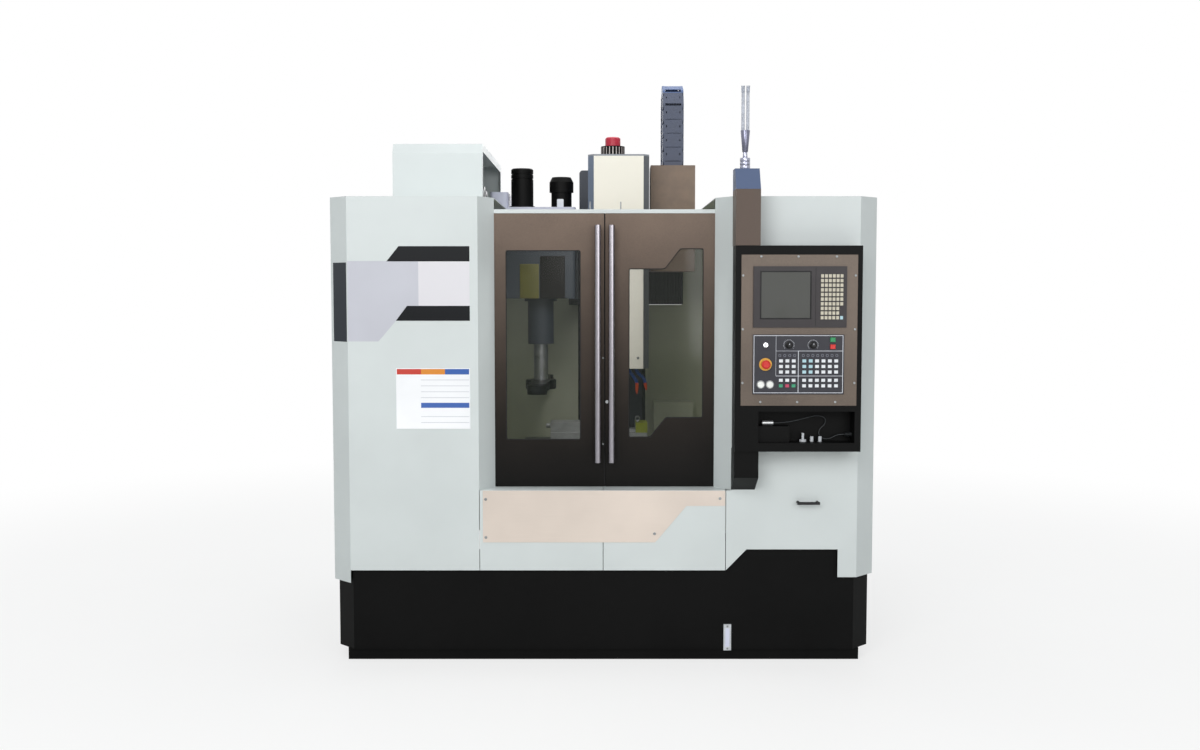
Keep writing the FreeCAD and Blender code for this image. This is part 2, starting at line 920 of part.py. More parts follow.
def level_gauge():
    frame = box("gauge_frame", ("gauge_x - gauge_width / 2", "gauge_x + gauge_width / 2"),
                ("front_y + tank_inset - gauge_depth", "front_y + tank_inset"),
                ("gauge_z - gauge_height / 2", "gauge_z + gauge_height / 2"))
    window = box("gauge_window", ("gauge_x - gauge_width / 4", "gauge_x + gauge_width / 4"),
                 ("front_y + tank_inset - gauge_depth - 1", "front_y + tank_inset - gauge_depth / 2"),
                 ("gauge_z - gauge_height / 3", "gauge_z + gauge_height / 3"))
    finish("level_gauge", cut("level_gauge_cut", frame, window))


def cabinet_handle():
    bar = cylinder("pull_bar", "pull_radius", "x", ("front_y - pull_stand_off", "pull_z"), "pull_left", "pull_right")
    feet = [cylinder(f"pull_foot_{end}", "pull_radius", "y", (x, "pull_z"), "front_y - pull_stand_off", "front_y")
            for end, x in (("left", "pull_left + pull_radius"), ("right", "pull_right - pull_radius"))]
    finish("cabinet_handle", joined("cabinet_handle_fuse", bar, *feet))


def door_frame():
    """The frame that the doors slide in: header, sill and two posts behind the cabinets."""
    whole = box("frame_whole", ("-frame_reach", "frame_reach + 2 * door_centre"),
                (FRAME_FRONT, FRAME_FRONT + " + frame_depth"), ("ledge_z - ledge_fold", "door_top + header_height"))
    opening = box("frame_opening", ("-frame_reach + frame_post", "frame_reach + 2 * door_centre - frame_post"),
                  (FRAME_FRONT + " - 1", FRAME_FRONT + " + frame_depth + 1"), ("ledge_z", "door_top + slide_gap"))
    finish("door_frame", cut("door_frame_cut", whole, opening))


def door(name, low, high, window):
    """A folded door leaf, hollow at the back, with its window cut out."""
    leaf = box(name + "_leaf", (low, high), (DOOR_FACE, DOOR_BACK), (DOOR_LOW, "door_top"))
    hollow = box(name + "_hollow", (f"{low} + door_fold", f"{high} - door_fold"),
                 (DOOR_FACE + " + door_skin", DOOR_BACK + " + 1"),
                 (DOOR_LOW + " + door_fold", "door_top - door_fold"))
    rim = pad(name + "_rim", "XZ_Plane", window("window_rim"), DOOR_FACE + " + 1", DOOR_BACK)
    hole = eased("Part::Fillet", name + "_hole",
                 pad(name + "_hole_block", "XZ_Plane", window("0"), DOOR_FACE + " - 1", DOOR_BACK + " + 1"),
                 "window_round", runs_along("y"))
    folded = joined(name + "_joined", cut(name + "_shell", leaf, hollow), rim)
    finish(name, cut(name + "_cut", folded, hole))


def left_window_corners(grow):
    return [
        (f"-left_window_outer - {grow}", f"left_window_low - {grow}"),
        (f"-left_window_inner + {grow}", f"left_window_low - {grow}"),
        (f"-left_window_inner + {grow}", f"left_window_high + {grow}"),
        (f"-left_window_outer - {grow}", f"left_window_high + {grow}"),
    ]


def right_window_corners(grow):
    bend = f"0.45 * {grow}"
    return [
        (f"right_window_inner - {grow}", f"right_window_low - {grow}"),
        (f"window_low_slant_in + {bend}", f"right_window_low - {grow}"),
        (f"window_low_slant_out + {bend}", f"right_window_step_low - {grow}"),
        (f"right_window_outer + {grow}", f"right_window_step_low - {grow}"),
        (f"right_window_outer + {grow}", f"right_window_high + {grow}"),
        (f"window_high_slant_out - {bend}", f"right_window_high + {grow}"),
        (f"window_high_slant_in - {bend}", f"right_window_step_high + {grow}"),
        (f"right_window_inner - {grow}", f"right_window_step_high + {grow}"),
    ]


DOOR_MIDDLE = {
    "left": "door_centre - door_meeting_gap / 2",
    "right": "door_centre + door_meeting_gap / 2",
}


def doors():
    door("left_door", DOOR_MIDDLE["left"] + " - door_width", DOOR_MIDDLE["left"], left_window_corners)
    door("right_door", DOOR_MIDDLE["right"], DOOR_MIDDLE["right"] + " + door_width", right_window_corners)
    for name, corners in (("left_window", left_window_corners), ("right_window", right_window_corners)):
        pane = pad(name + "_pane", "XZ_Plane", corners("-1 * flat_gap"), DOOR_FACE + " + door_skin + window_seat",
                   DOOR_FACE + " + door_skin + window_seat + window_glass")
        finish(name, eased("Part::Fillet", name + "_rounded", pane, "window_round", runs_along("y")))


def door_handle(name, x):
    """A long round bar on two hidden posts."""
    bar_y = f"{DOOR_FACE} - handle_stand_off"
    bar = cylinder(name + "_bar", "handle_radius", "z", (x, bar_y), "handle_low", "handle_high")
    posts = [cylinder(f"{name}_post_{end}", "handle_post_radius", "y", (x, z), bar_y, DOOR_FACE)
             for end, z in (("low", "handle_low + handle_post_inset"), ("high", "handle_high - handle_post_inset"))]
    finish(name, joined(name + "_fuse", bar, *posts))


def door_lock():
    x = DOOR_MIDDLE["right"] + " + lock_radius + slide_gap"
    barrel = cylinder("lock_barrel", "lock_radius", "y", (x, "lock_z"),
                      f"{DOOR_FACE} - lock_length", DOOR_FACE + " - flat_gap")
    slot = box("lock_slot", (x + " - lock_slot / 2", x + " + lock_slot / 2"),
               (f"{DOOR_FACE} - lock_length - 1", f"{DOOR_FACE} - lock_length + lock_slot_depth"),
               ("lock_z - lock_radius * 0.6", "lock_z + lock_radius * 0.6"))
    finish("door_lock", cut("door_lock_cut", barrel, slot))


def cabin_walls():
    """The splash tub round the work space: four walls and a floor with their openings."""
    tub = box("cabin_tub", ("-cabin_left", "cabin_right"), ("cabin_front", "cabin_rear"),
              ("base_top", "cabinet_top - sheet_wall"))
    room = box("cabin_room", ("-cabin_left + sheet_wall", "cabin_right - sheet_wall"),
               ("cabin_front + sheet_wall", "cabin_rear - sheet_wall"),
               ("base_top + sheet_wall", "cabinet_top + 1"))
    doorway = box("cabin_doorway_cut", ("-cabin_doorway", "cabin_doorway"),
                  ("cabin_front - 1", "cabin_front + sheet_wall + 1"), ("ledge_z", "cabinet_top + 1"))
    through_rear = ("cabin_rear - sheet_wall - 1", "cabin_rear + 1")
    rear = box("cabin_rear_cut", mirrored_span("spindle_x", "-column_half - cabin_rear_gap",
                                               "column_half + cabin_rear_gap", 1),
               through_rear, ("base_top - 1", "cabinet_top + 1"))
    rear_step = box("cabin_rear_step_cut",
                    ("spindle_x - column_half - cam_bracket_width - cabin_rear_gap",
                     "chain_x + chain_width / 2 + trough_gap + trough_wall + cabin_rear_gap"),
                    through_rear, ("cabin_rear_step_z", "cabinet_top + 1"))
    side = box("cabin_side_cut", ("-cabin_left - 1", "-cabin_left + sheet_wall + 1"),
               ("magazine_front - cabin_side_clearance", "cabin_rear + 1"), ("cabin_side_opening_z", "cabinet_top + 1"))
    side_rear = box("cabin_side_rear_cut", ("-cabin_left - 1", "magazine_right + 2"),
                    ("cabin_rear - sheet_wall - 1", "cabin_rear + 1"), ("cabin_side_opening_z", "cabinet_top + 1"))
    floor = box("cabin_floor_cut", ("-cabin_floor_left", "cabin_floor_right"),
                ("base_front - cabin_floor_reach", "cabin_rear + 1"), ("base_top - 1", "base_top + sheet_wall + 1"))
    wall_box = box("cabin_wall_box", ("wall_box_left", "wall_box_right"),
                   ("wall_box_front", "cabin_rear - sheet_wall / 2"), ("wall_box_low", "wall_box_high"))
    finish("cabin_walls", joined("cabin_walls_fuse", cut("cabin_walls_cut", tub, room, doorway, rear, rear_step,
                                                         side, side_rear, floor), wall_box))


def mirrored_span(centre, near, far, side):
    """A pair of rising expressions on one side of a centre."""
    if side < 0:
        return f"{centre} - ({far})", f"{centre} - ({near})"
    return f"{centre} + ({near})", f"{centre} + ({far})"


def base_casting():
    plan = [
        ("spindle_x - base_half_front", "base_front"),
        ("spindle_x + base_half_front", "base_front"),
        ("spindle_x + base_half_front", "base_step_y - base_step_length"),
        ("spindle_x + base_half_rear", "base_step_y"),
        ("spindle_x + base_half_rear", "base_rear"),
        ("spindle_x - base_half_rear", "base_rear"),
        ("spindle_x - base_half_rear", "base_step_y"),
        ("spindle_x - base_half_front", "base_step_y - base_step_length"),
    ]
    block = eased("Part::Fillet", "base_rounded", pad("base_block", "XY_Plane", plan, "foot_height", "base_top"),
                  "casting_round", runs_along("z"))
    ways = [box(f"base_way_{side}", mirrored_span("spindle_x", "way_half_span - way_width / 2",
                                                 "way_half_span + way_width / 2", side),
                ("way_front", "way_rear"), ("base_top", WAY_TOP)) for side in (-1, 1)]
    lugs = []
    anchors = []
    for side in (-1, 1):
        x = f"spindle_x + {side} * anchor_span_x / 2"
        for end in (-1, 1):
            y = f"anchor_y + {end} * anchor_span_y / 2"
            lugs.append(box(f"base_lug_{side}_{end}", mirrored_span("spindle_x", "base_half_front - 1",
                                                                   "anchor_span_x / 2 + lug_half", side),
                            (f"{y} - lug_half", f"{y} + lug_half"), ("foot_height", "foot_height + lug_height")))
            anchors.append(cylinder(f"base_anchor_{side}_{end}", "anchor_radius", "z", (x, y),
                                    "foot_height - 1", "foot_height + lug_height + 1"))
    screw_bay = box("base_screw_bay", ("spindle_x - way_half_span / 2", "spindle_x + way_half_span / 2"),
                    ("way_front", "way_rear - screw_bay_end"), ("base_top - screw_bay_depth", "base_top + 1"))
    pockets = []
    for side in (-1, 1):
        for index in range(2):
            y = f"base_pocket_y + {index} * base_pocket_pitch"
            pockets.append(box(f"base_pocket_{side}_{index}",
                               mirrored_span("spindle_x", "base_half_rear - base_pocket_depth",
                                             "base_half_rear + 1", side),
                               (f"{y} - base_pocket_length / 2", f"{y} + base_pocket_length / 2"),
                               ("base_pocket_low", "base_pocket_high")))
    finish("base_casting", cut("base_casting_cut", joined("base_joined", block, *ways, *lugs), screw_bay,
                               *pockets, *anchors))


def levelling_feet():
    feet = []
    for x in ("spindle_x - base_half_front + foot_inset", "spindle_x + base_half_front - foot_inset"):
        for y in ("base_front + foot_inset", "base_step_y", "base_rear - foot_rear_inset"):
            feet.append(turned(f"foot_{len(feet) + 1}", "z", (x, y), "0", [
                ("0", "0"),
                ("foot_radius", "0"),
                ("foot_radius", "foot_cone"),
                ("foot_nut_radius", "foot_plate"),
                ("foot_nut_radius", "foot_plate + foot_cone"),
                ("foot_screw_radius", "foot_plate + foot_cone"),
                ("foot_screw_radius", "foot_height"),
                ("0", "foot_height"),
            ]))
    finish("levelling_feet", group("levelling_feet_group", *feet))


def column():
    """The upright casting: wide at its foot, with two ways and the bracket of the cable chain."""
    profile = [
        ("spindle_x - column_foot_half", "base_top"),
        ("spindle_x + column_foot_half", "base_top"),
        ("spindle_x + column_half", "column_knee_z"),
        ("spindle_x + column_half", "column_top"),
        ("spindle_x - column_half", "column_top"),
        ("spindle_x - column_half", "column_knee_z"),
    ]
    along_depth = runs_along("y")
    upright = eased("Part::Fillet", "column_rounded",
                    pad("column_upright", "XZ_Plane", profile, "column_front", "column_rear"), "casting_round",
                    lambda edge: along_depth(edge) and edge.CenterOfMass.z > size("column_knee_z") - 1)
    channel = box("column_channel", ("spindle_x - column_channel_half", "spindle_x + column_channel_half"),
                  ("column_front - 1", "column_front + column_channel_depth"),
                  ("column_way_low", "column_way_high"))
    ways = [box(f"column_way_{side}", mirrored_span("spindle_x", "column_way_in",
                                                   "column_way_in + column_way_width", side),
                (COLUMN_WAY_FACE, "column_front"), ("column_way_low", "column_way_high")) for side in (-1, 1)]
    trough_half = "chain_width / 2 + trough_gap + trough_wall"
    trough_rear = CHAIN_REAR_FACE + " + slide_gap + trough_wall"
    back = box("trough_back", (f"chain_x - ({trough_half})", f"chain_x + {trough_half}"),
               (CHAIN_REAR_FACE + " + slide_gap", trough_rear), ("trough_low", "trough_high"))
    cheeks = [box(f"trough_cheek_{side}", mirrored_span("chain_x", "chain_width / 2 + trough_gap", trough_half,
                                                       side),
                  (CHAIN_REAR_FACE + " - chain_depth", trough_rear), ("trough_low", "trough_high"))
              for side in (-1, 1)]
    arm = box("trough_arm", ("spindle_x + column_half", f"chain_x + {trough_half}"),
              (trough_rear, "column_front + trough_arm_seat"), ("trough_arm_low", "trough_arm_high"))
    finish("column", joined("column_fuse", cut("column_cut", upright, channel), *ways, back, *cheeks, arm))


def saddle():
    """The cross slide: it straddles the bed ways and carries the table's ways."""
    centre = "spindle_x"
    lip = WAY_TOP + " - saddle_lip"
    floor = WAY_TOP + " + flat_gap"
    way_in = "way_half_span - way_width / 2 - flat_gap"
    way_out = "way_half_span + way_width / 2 + flat_gap"
    profile = [
        (f"{centre} - saddle_half_width", lip),
        (f"{centre} - ({way_out})", lip),
        (f"{centre} - ({way_out})", floor),
        (f"{centre} - ({way_in})", floor),
        (f"{centre} - ({way_in})", lip),
        (f"{centre} + ({way_in})", lip),
        (f"{centre} + ({way_in})", floor),
        (f"{centre} + ({way_out})", floor),
        (f"{centre} + ({way_out})", lip),
        (f"{centre} + saddle_half_width", lip),
        (f"{centre} + saddle_half_width", "saddle_top"),
        (f"{centre} - saddle_half_width", "saddle_top"),
    ]
    upright = runs_along("z")
    block = eased("Part::Fillet", "saddle_rounded",
                  pad("saddle_block", "XZ_Plane", profile, "spindle_y - saddle_length / 2",
                      "spindle_y + saddle_length / 2"), "casting_round",
                  lambda edge: upright(edge)
                  and abs(edge.CenterOfMass.x - size("spindle_x")) > size("saddle_half_width") - 1)
    ways = [box(f"saddle_way_{side}", (f"{centre} - saddle_half_width", f"{centre} + saddle_half_width"),
                mirrored_span("spindle_y", "cross_way_span - cross_way_width / 2",
                              "cross_way_span + cross_way_width / 2", side),
                ("saddle_top", CROSS_WAY_TOP)) for side in (-1, 1)]
    finish("saddle", joined("saddle_fuse", block, *ways))


def table():
    centre = "spindle_y"
    lip = "saddle_top + flat_gap + table_lip_gap"
    floor = CROSS_WAY_TOP + " + flat_gap"
    way_in = "cross_way_span - cross_way_width / 2 - flat_gap"
    way_out = "cross_way_span + cross_way_width / 2 + flat_gap"
    profile = [
        (f"{centre} - table_width / 2", lip),
        (f"{centre} - ({way_out})", lip),
        (f"{centre} - ({way_out})", floor),
        (f"{centre} - ({way_in})", floor),
        (f"{centre} - ({way_in})", lip),
        (f"{centre} + ({way_in})", lip),
        (f"{centre} + ({way_in})", floor),
        (f"{centre} + ({way_out})", floor),
        (f"{centre} + ({way_out})", lip),
        (f"{centre} + table_width / 2", lip),
        (f"{centre} + table_width / 2", "table_top"),
        (f"{centre} - table_width / 2", "table_top"),
    ]
    plate = pad("table_plate", "YZ_Plane", profile, "spindle_x - table_length / 2", "spindle_x + table_length / 2")
    slots = []
    for index in range(5):
        middle = f"spindle_y + {index - 2} * slot_pitch"
        ends = ("spindle_x - table_length / 2 - 1", "spindle_x + table_length / 2 + 1")
        slots.append(box(f"table_slot_neck_{index}", ends,
                         (f"{middle} - slot_width / 2", f"{middle} + slot_width / 2"),
                         ("table_top - slot_neck", "table_top + 1")))
        slots.append(box(f"table_slot_foot_{index}", ends,
                         (f"{middle} - slot_foot_width / 2", f"{middle} + slot_foot_width / 2"),
                         ("table_top - slot_neck - slot_foot_height", "table_top - slot_neck")))
    finish("table", cut("table_cut", plate, *slots))


def vise():
    """The work-holding vise: a bed with a fixed jaw, and a jaw that slides on the bed's guide."""
    bed_top = "table_top + vise_bed_height"
    low_y = "spindle_y - vise_width / 2"
    high_y = "spindle_y + vise_width / 2"
    bed = box("vise_bed", ("-vise_left", "vise_right"), (low_y, high_y), ("table_top", bed_top))
    fixed = box("vise_fixed", ("vise_right - vise_fixed_jaw", "vise_right"), (low_y, high_y),
                (bed_top, bed_top + " + vise_jaw_height"))
    guide = box("vise_guide", ("-vise_left + vise_guide_inset", "vise_right - vise_fixed_jaw"),
                ("spindle_y - vise_guide_width / 2", "spindle_y + vise_guide_width / 2"),
                (bed_top, bed_top + " + vise_guide_height"))
    nut_box = box("vise_nut_box", ("-vise_left", "vise_nut_box_right"),
                  ("spindle_y - vise_nut_box_width / 2", "spindle_y + vise_nut_box_width / 2"),
                  (bed_top, bed_top + " + vise_nut_box_height"))
    screw_end = cylinder("vise_screw_end", "vise_screw_radius", "x", ("spindle_y", bed_top + " + vise_screw_z"),
                         "-vise_left - vise_screw_end", "-vise_left + 1")
    feet = [box(f"vise_foot_{end}", x, (low_y + " - vise_clamp_foot", high_y + " + vise_clamp_foot"),
                ("table_top", "table_top + vise_clamp_height"))
            for end, x in (("left", ("-vise_left", "-vise_left + 3 * vise_clamp_foot")),
                           ("right", ("vise_right - 3 * vise_clamp_foot", "vise_right")))]
    finish("vise_body", joined("vise_body_fuse", bed, fixed, guide, nut_box, screw_end, *feet))
    jaw_high_x = "vise_right - vise_fixed_jaw - vise_jaw_gap"
    jaw = box("vise_jaw_block", (jaw_high_x + " - vise_moving_jaw", jaw_high_x), (low_y, high_y),
              (bed_top + " + flat_gap", bed_top + " + vise_jaw_height"))
    groove = box("vise_jaw_groove", (jaw_high_x + " - vise_moving_jaw - 1", jaw_high_x + " + 1"),
                 ("spindle_y - vise_guide_width / 2 - flat_gap", "spindle_y + vise_guide_width / 2 + flat_gap"),
                 (bed_top, bed_top + " + vise_guide_height + flat_gap"))
    finish("vise_jaw", cut("vise_jaw_cut", jaw, groove))


def head_casting():
    half = "head_half_width"
    upright = runs_along("z")
    block = eased("Part::Fillet", "head_rounded",
                  box("head_block", (f"spindle_x - {half}", f"spindle_x + {half}"),
                      ("head_front", f"{COLUMN_WAY_FACE} - slide_gap - slide_thickness"),
                      ("head_low", "head_high")), "casting_round",
                  lambda edge: upright(edge) and edge.CenterOfMass.y < size("head_front") + 1)
    boss = cylinder("head_boss", "head_boss_radius", "z", ("spindle_x", "spindle_y"),
                    "head_low - head_boss_height", "head_low + 1")
    slide = box("head_slide", ("spindle_x - slide_half_width", "spindle_x + slide_half_width"),
                (f"{COLUMN_WAY_FACE} - slide_gap - slide_thickness", f"{COLUMN_WAY_FACE} - slide_gap"),
                ("slide_low", "slide_high"))
    bore = cylinder("head_bore", "spindle_radius + bore_gap", "z", ("spindle_x", "spindle_y"),
                    "head_low - head_boss_height - 1", "head_high + 1")
    finish("head_casting", cut("head_casting_cut", joined("head_joined", block, slide, boss), bore))


def spindle():
    finish("spindle", turned("spindle_body", "z", ("spindle_x", "spindle_y"), "nose_z", [
        ("0", "taper_depth"),
        ("taper_mouth_radius - taper_depth * 7 / 48", "taper_depth"),
        ("taper_mouth_radius", "0"),
        ("nose_radius - nose_bevel", "0"),
        ("nose_radius", "nose_bevel"),
        ("nose_radius", "nose_height"),
        ("spindle_radius", "nose_height"),
        ("spindle_radius", "head_high - nose_z - spindle_top_inset"),
        ("0", "head_high - nose_z - spindle_top_inset"),
    ]))


def spindle_motor():
    """The motor on top of the head, with upright slots round the fan collar above the cover."""
    centre = ("spindle_x", "spindle_y")
    flange = box("motor_flange_plate", ("spindle_x - motor_radius", "spindle_x + motor_radius"),
                 ("spindle_y - motor_radius", "spindle_y + motor_radius"), ("head_high", "head_high + motor_flange"))
    body = cylinder("motor_body", "motor_radius", "z", centre, "head_high + motor_flange", "cover_high - motor_sunk")
    collar = turned("motor_collar", "z", centre, "cover_high - motor_sunk", [
        ("0", "0"),
        ("collar_radius", "0"),
        ("collar_radius", "motor_sunk + collar_height"),
        ("0", "motor_sunk + collar_height"),
    ])
    slotted(collar, [
        ("collar_radius - collar_groove", "-collar_slot / 2"),
        ("collar_radius + 1", "-collar_slot / 2"),
        ("collar_radius + 1", "collar_slot / 2"),
        ("collar_radius - collar_groove", "collar_slot / 2"),
    ], "motor_sunk + collar_height - collar_rim", "collar_height - 2 * collar_rim", "collar_slots")
    finish("spindle_motor", joined("spindle_motor_fuse", flange, body, collar))


def motor_cap():
    finish("motor_cap", turned("motor_cap_body", "z", ("spindle_x", "spindle_y"), "cover_high + collar_height", [
        ("0", "0"),
        ("cap_radius", "0"),
        ("cap_radius", "cap_height - cap_bevel"),
        ("cap_radius - cap_bevel", "cap_height"),
        ("0", "cap_height"),
    ]))


def head_cover():
    left = "spindle_x - cover_left"
    right = "spindle_x + cover_right"
    outer = [
        (left, "cover_rear"),
        (left, "cover_front + cover_chamfer"),
        (left + " + cover_chamfer", "cover_front"),
        (right + " - cover_chamfer", "cover_front"),
        (right, "cover_front + cover_chamfer"),
        (right, "cover_rear"),
    ]
    corner = "0.414 * cover_wall"
    inner = [
        (left + " + cover_wall", "cover_rear + 1"),
        (left + " + cover_wall", f"cover_front + cover_chamfer + {corner}"),
        (f"{left} + cover_chamfer + {corner}", "cover_front + cover_wall"),
        (f"{right} - cover_chamfer - {corner}", "cover_front + cover_wall"),
        (right + " - cover_wall", f"cover_front + cover_chamfer + {corner}"),
        (right + " - cover_wall", "cover_rear + 1"),
    ]
    shell = pad("head_cover_shell", "XY_Plane", outer, "cover_low", "cover_high")
    hollow = pad("head_cover_hollow", "XY_Plane", inner, "cover_low - 1", "cover_high - cover_wall")
    hole = cylinder("head_cover_hole", "collar_radius + flat_gap", "z", ("spindle_x", "spindle_y"),
                    "cover_high - 10", "cover_high + 1")
    finish("head_cover", cut("head_cover_cut", shell, hollow, hole))


def chain_box():
    """The cable box beside the head: open at the top for the chain, and bolted to the head."""
    wall = "cover_wall"
    shell = box("chain_box_shell", ("chain_box_left", "chain_box_right"), ("chain_box_front", "chain_box_rear"),
                ("chain_box_low", "chain_box_high"))
    hollow = box("chain_box_hollow", (f"chain_box_left + {wall}", f"chain_box_right - {wall}"),
                 (f"chain_box_front + {wall}", f"chain_box_rear - {wall}"),
                 (f"chain_box_low + {wall}", f"chain_box_high - {wall}"))
    mouth = box("chain_box_mouth",
                ("chain_x - chain_width / 2 - chain_mouth_gap", "chain_x + chain_width / 2 + chain_mouth_gap"),
                ("chain_front_y - chain_depth / 2 - chain_mouth_gap",
                 "chain_front_y + chain_depth / 2 + chain_mouth_gap"),
                ("chain_box_high - chain_box_rim", "chain_box_high + 1"))
    bracket = box("chain_box_bracket", ("spindle_x + head_half_width", "chain_box_left"),
                  ("cover_rear + 1", "chain_box_rear"), ("chain_box_low", "chain_box_low + chain_bracket_height"))
    finish("chain_box", joined("chain_box_fuse", cut("chain_box_cut", shell, hollow, mouth), bracket))


def lug_plate(thickness, depth, low, high, round_low):
    """A side plate of a chain link in the YZ plane: round about a pin at one end, square at the other."""
    half = depth / 2
    flat, pin = (high, low) if round_low else (low, high)
    tip = pin - half if round_low else pin + half
    edges = [
        Part.makeLine((0, half, pin), (0, half, flat)),
        Part.makeLine((0, half, flat), (0, -half, flat)),
        Part.makeLine((0, -half, flat), (0, -half, pin)),
        Part.Arc(FreeCAD.Vector(0, -half, pin), FreeCAD.Vector(0, 0, tip), FreeCAD.Vector(0, half, pin)).toShape(),
    ]
    return Part.Face(Part.Wire(edges)).extrude(FreeCAD.Vector(thickness, 0, 0))


def chain_link(length):
    """One link from its own pin at z 0 to the next one's: outer lugs, inner lugs and two lids."""
    width = size("chain_width")
    depth = size("chain_depth")
    plate = size("chain_plate")
    seam = size("chain_seam")
    lid = size("chain_lid")
    outer = lug_plate(plate, depth, 0, length - depth / 2 - seam, True)
    inner = lug_plate(plate, depth, depth / 2 + seam, length, False)
    lid_width = width - 2 * plate
    front_lid = Part.makeBox(lid_width, lid, length - 2 * seam, FreeCAD.Vector(-lid_width / 2, -depth / 2, seam))
    inset = depth / 2 - lid
    rear_lid = Part.makeBox(lid_width, lid, length - 2 * inset, FreeCAD.Vector(-lid_width / 2, inset, inset))
    slot_width = size("chain_slot_width")
    slot_height = size("chain_slot_height")
    slots = [Part.makeBox(slot_width, 2 * lid, slot_height,
                          FreeCAD.Vector(x - slot_width / 2, -depth / 2 - lid, length / 2 - slot_height / 2))
             for x in (-lid_width / 2 + 2 * plate, lid_width / 2 - 2 * plate)]
    pieces = [front_lid.cut(slots), rear_lid]
    for side in (-1, 1):
        for lug, reach in ((outer, width / 2), (inner, width / 2 - plate)):
            piece = lug.copy()
            piece.translate(FreeCAD.Vector(reach - plate if side > 0 else -reach, 0, 0))
            pieces.append(piece)
    return pieces[0].fuse(pieces[1:])


def cable_chain():
    """The chain's links, pinned lug to lug up a front strand, over a half turn and down a rear strand."""
    x = size("chain_x")
    front_y = size("chain_front_y")
    radius = size("chain_radius")
    bend_count = int(size("chain_bend_links"))
    pitch = 2 * radius * math.sin(math.pi / (2 * bend_count))
    bend_z = size("chain_top") - size("chain_depth") / 2 - radius
    pins = [FreeCAD.Vector(x, front_y, bend_z - index * pitch)
            for index in range(int(size("chain_front_links")), 0, -1)]
    for index in range(bend_count + 1):
        angle = math.pi * index / bend_count
        pins.append(FreeCAD.Vector(x, front_y + radius - radius * math.cos(angle), bend_z + radius * math.sin(angle)))
    pins += [FreeCAD.Vector(x, front_y + 2 * radius, bend_z - (index + 1) * pitch)
             for index in range(int(size("chain_rear_links")))]
    pattern = chain_link(pitch)
    links = []
    for pin, following in zip(pins, pins[1:]):
        run = following - pin
        turn = math.degrees(math.atan2(-run.y, run.z))
        link = pattern.copy()
        link.Placement = FreeCAD.Placement(pin, FreeCAD.Rotation(FreeCAD.Vector(1, 0, 0), turn))
        links.append(link)
    item = document.addObject("Part::Feature", "cable_chain_links")
    item.Shape = links[0].fuse(links[1:]).removeSplitter()
    finish("cable_chain", item)


def hose_path(start, lean, links, pitch, bend):
    """Centres and leans of the links of one hose, which curves outward as it hangs."""
    points = []
    turn_step = math.degrees(pitch / bend)
    point = FreeCAD.Vector(start)
    angle = 0
    for index in range(links):
        points.append((FreeCAD.Vector(point), angle))
        angle = min(lean, angle + turn_step) if index < links / 2 else max(0, angle - turn_step)
        rad = math.radians(angle)
        point = point + FreeCAD.Vector(math.sin(rad), 0, -math.cos(rad)) * pitch
    return points


# Each hose leans out by this many degrees and has this many links
HOSES = ((52, 8), (34, 9), (14, 8))


def coolant_hoses():
    """Three hoses of snapped ball links with tapered nozzles, under one manifold block."""
    radius = size("hose_link_radius")
    pitch = size("hose_link_pitch")
    z = size("cover_low") + size("manifold_plate")
    right = size("spindle_x") + size("cover_right") - size("manifold_front")
    y = size("cover_front") + size("manifold_front")
    plate = size("manifold_plate")
    head_front = size("head_front")
    width = size("manifold_width")
    manifold = Part.makeBox(width, head_front - y + plate, size("manifold_height"),
                            FreeCAD.Vector(right - width, y - plate, z))
    head_width = size("spindle_x") + size("head_half_width") - size("casting_round") - right + width
    riser = Part.makeBox(head_width, plate, size("head_low") - z + 2 * plate,
                         FreeCAD.Vector(right - width, head_front - plate, z))
    shapes = [manifold.fuse(riser)]
    for index, (lean, count) in enumerate(HOSES):
        start = FreeCAD.Vector(right - radius - size("hose_edge") - index * size("hose_pitch_x"), y, z)
        path = hose_path(start, lean, count, pitch, size("hose_bend_radius"))
        for step, (point, angle) in enumerate(path):
            is_nozzle = step == count - 1
            length = pitch * (2 if is_nozzle else 1.16)
            link = Part.makeCone(radius * (0.35 if is_nozzle else 0.72), radius, length)
            link.translate(FreeCAD.Vector(0, 0, 2 - length))
            link.rotate(FreeCAD.Vector(), FreeCAD.Vector(0, 1, 0), -angle)
            link.translate(point)
            shapes.append(link)
    item = document.addObject("Part::Feature", "coolant_hoses_links")
    item.Shape = shapes[0].fuse(shapes[1:])
    finish("coolant_hoses", item)


def cam_box():
    """The tool changer's gear case, its raised cover and the bracket to the column."""
    upright = runs_along("z")
    case = eased("Part::Fillet", "cam_rounded", pad("cam_case", "XZ_Plane", [
        ("cam_left", "cam_floor"),
        ("cam_right", "cam_floor"),
        ("cam_right", "cam_high"),
        ("cam_left + cam_cover_width", "cam_high"),
        ("cam_left + cam_cover_width", "cam_cover_high"),
        ("cam_left", "cam_cover_high"),
    ], "cam_front", "cam_rear"), "casting_round", lambda edge: upright(edge) and edge.CenterOfMass.y < 0)
    bracket = box("cam_bracket", ("spindle_x - column_half - cam_bracket_width", "spindle_x - column_half"),
                  ("cam_rear - 1", "column_front + cam_bracket_reach"), ("cam_bracket_low", "cam_bracket_high"))
    neck = turned("cam_neck", "z", ("arm_pivot_x", "spindle_y"), "cam_low", [
        ("0", "0"),
        ("cam_neck_radius", "0"),
        ("cam_neck_radius", "cam_floor - cam_low - cam_neck_plate"),
        ("cam_neck_flange", "cam_floor - cam_low - cam_neck_plate"),
        ("cam_neck_flange", "cam_floor - cam_low + 1"),
        ("0", "cam_floor - cam_low + 1"),
    ])
    bore = cylinder("cam_bore", "shaft_radius + bore_gap", "z", ("arm_pivot_x", "spindle_y"),
                    "cam_low - 1", "cam_low + cam_bore_depth")
    finish("cam_box", cut("cam_box_cut", joined("cam_joined", case, bracket, neck), bore))


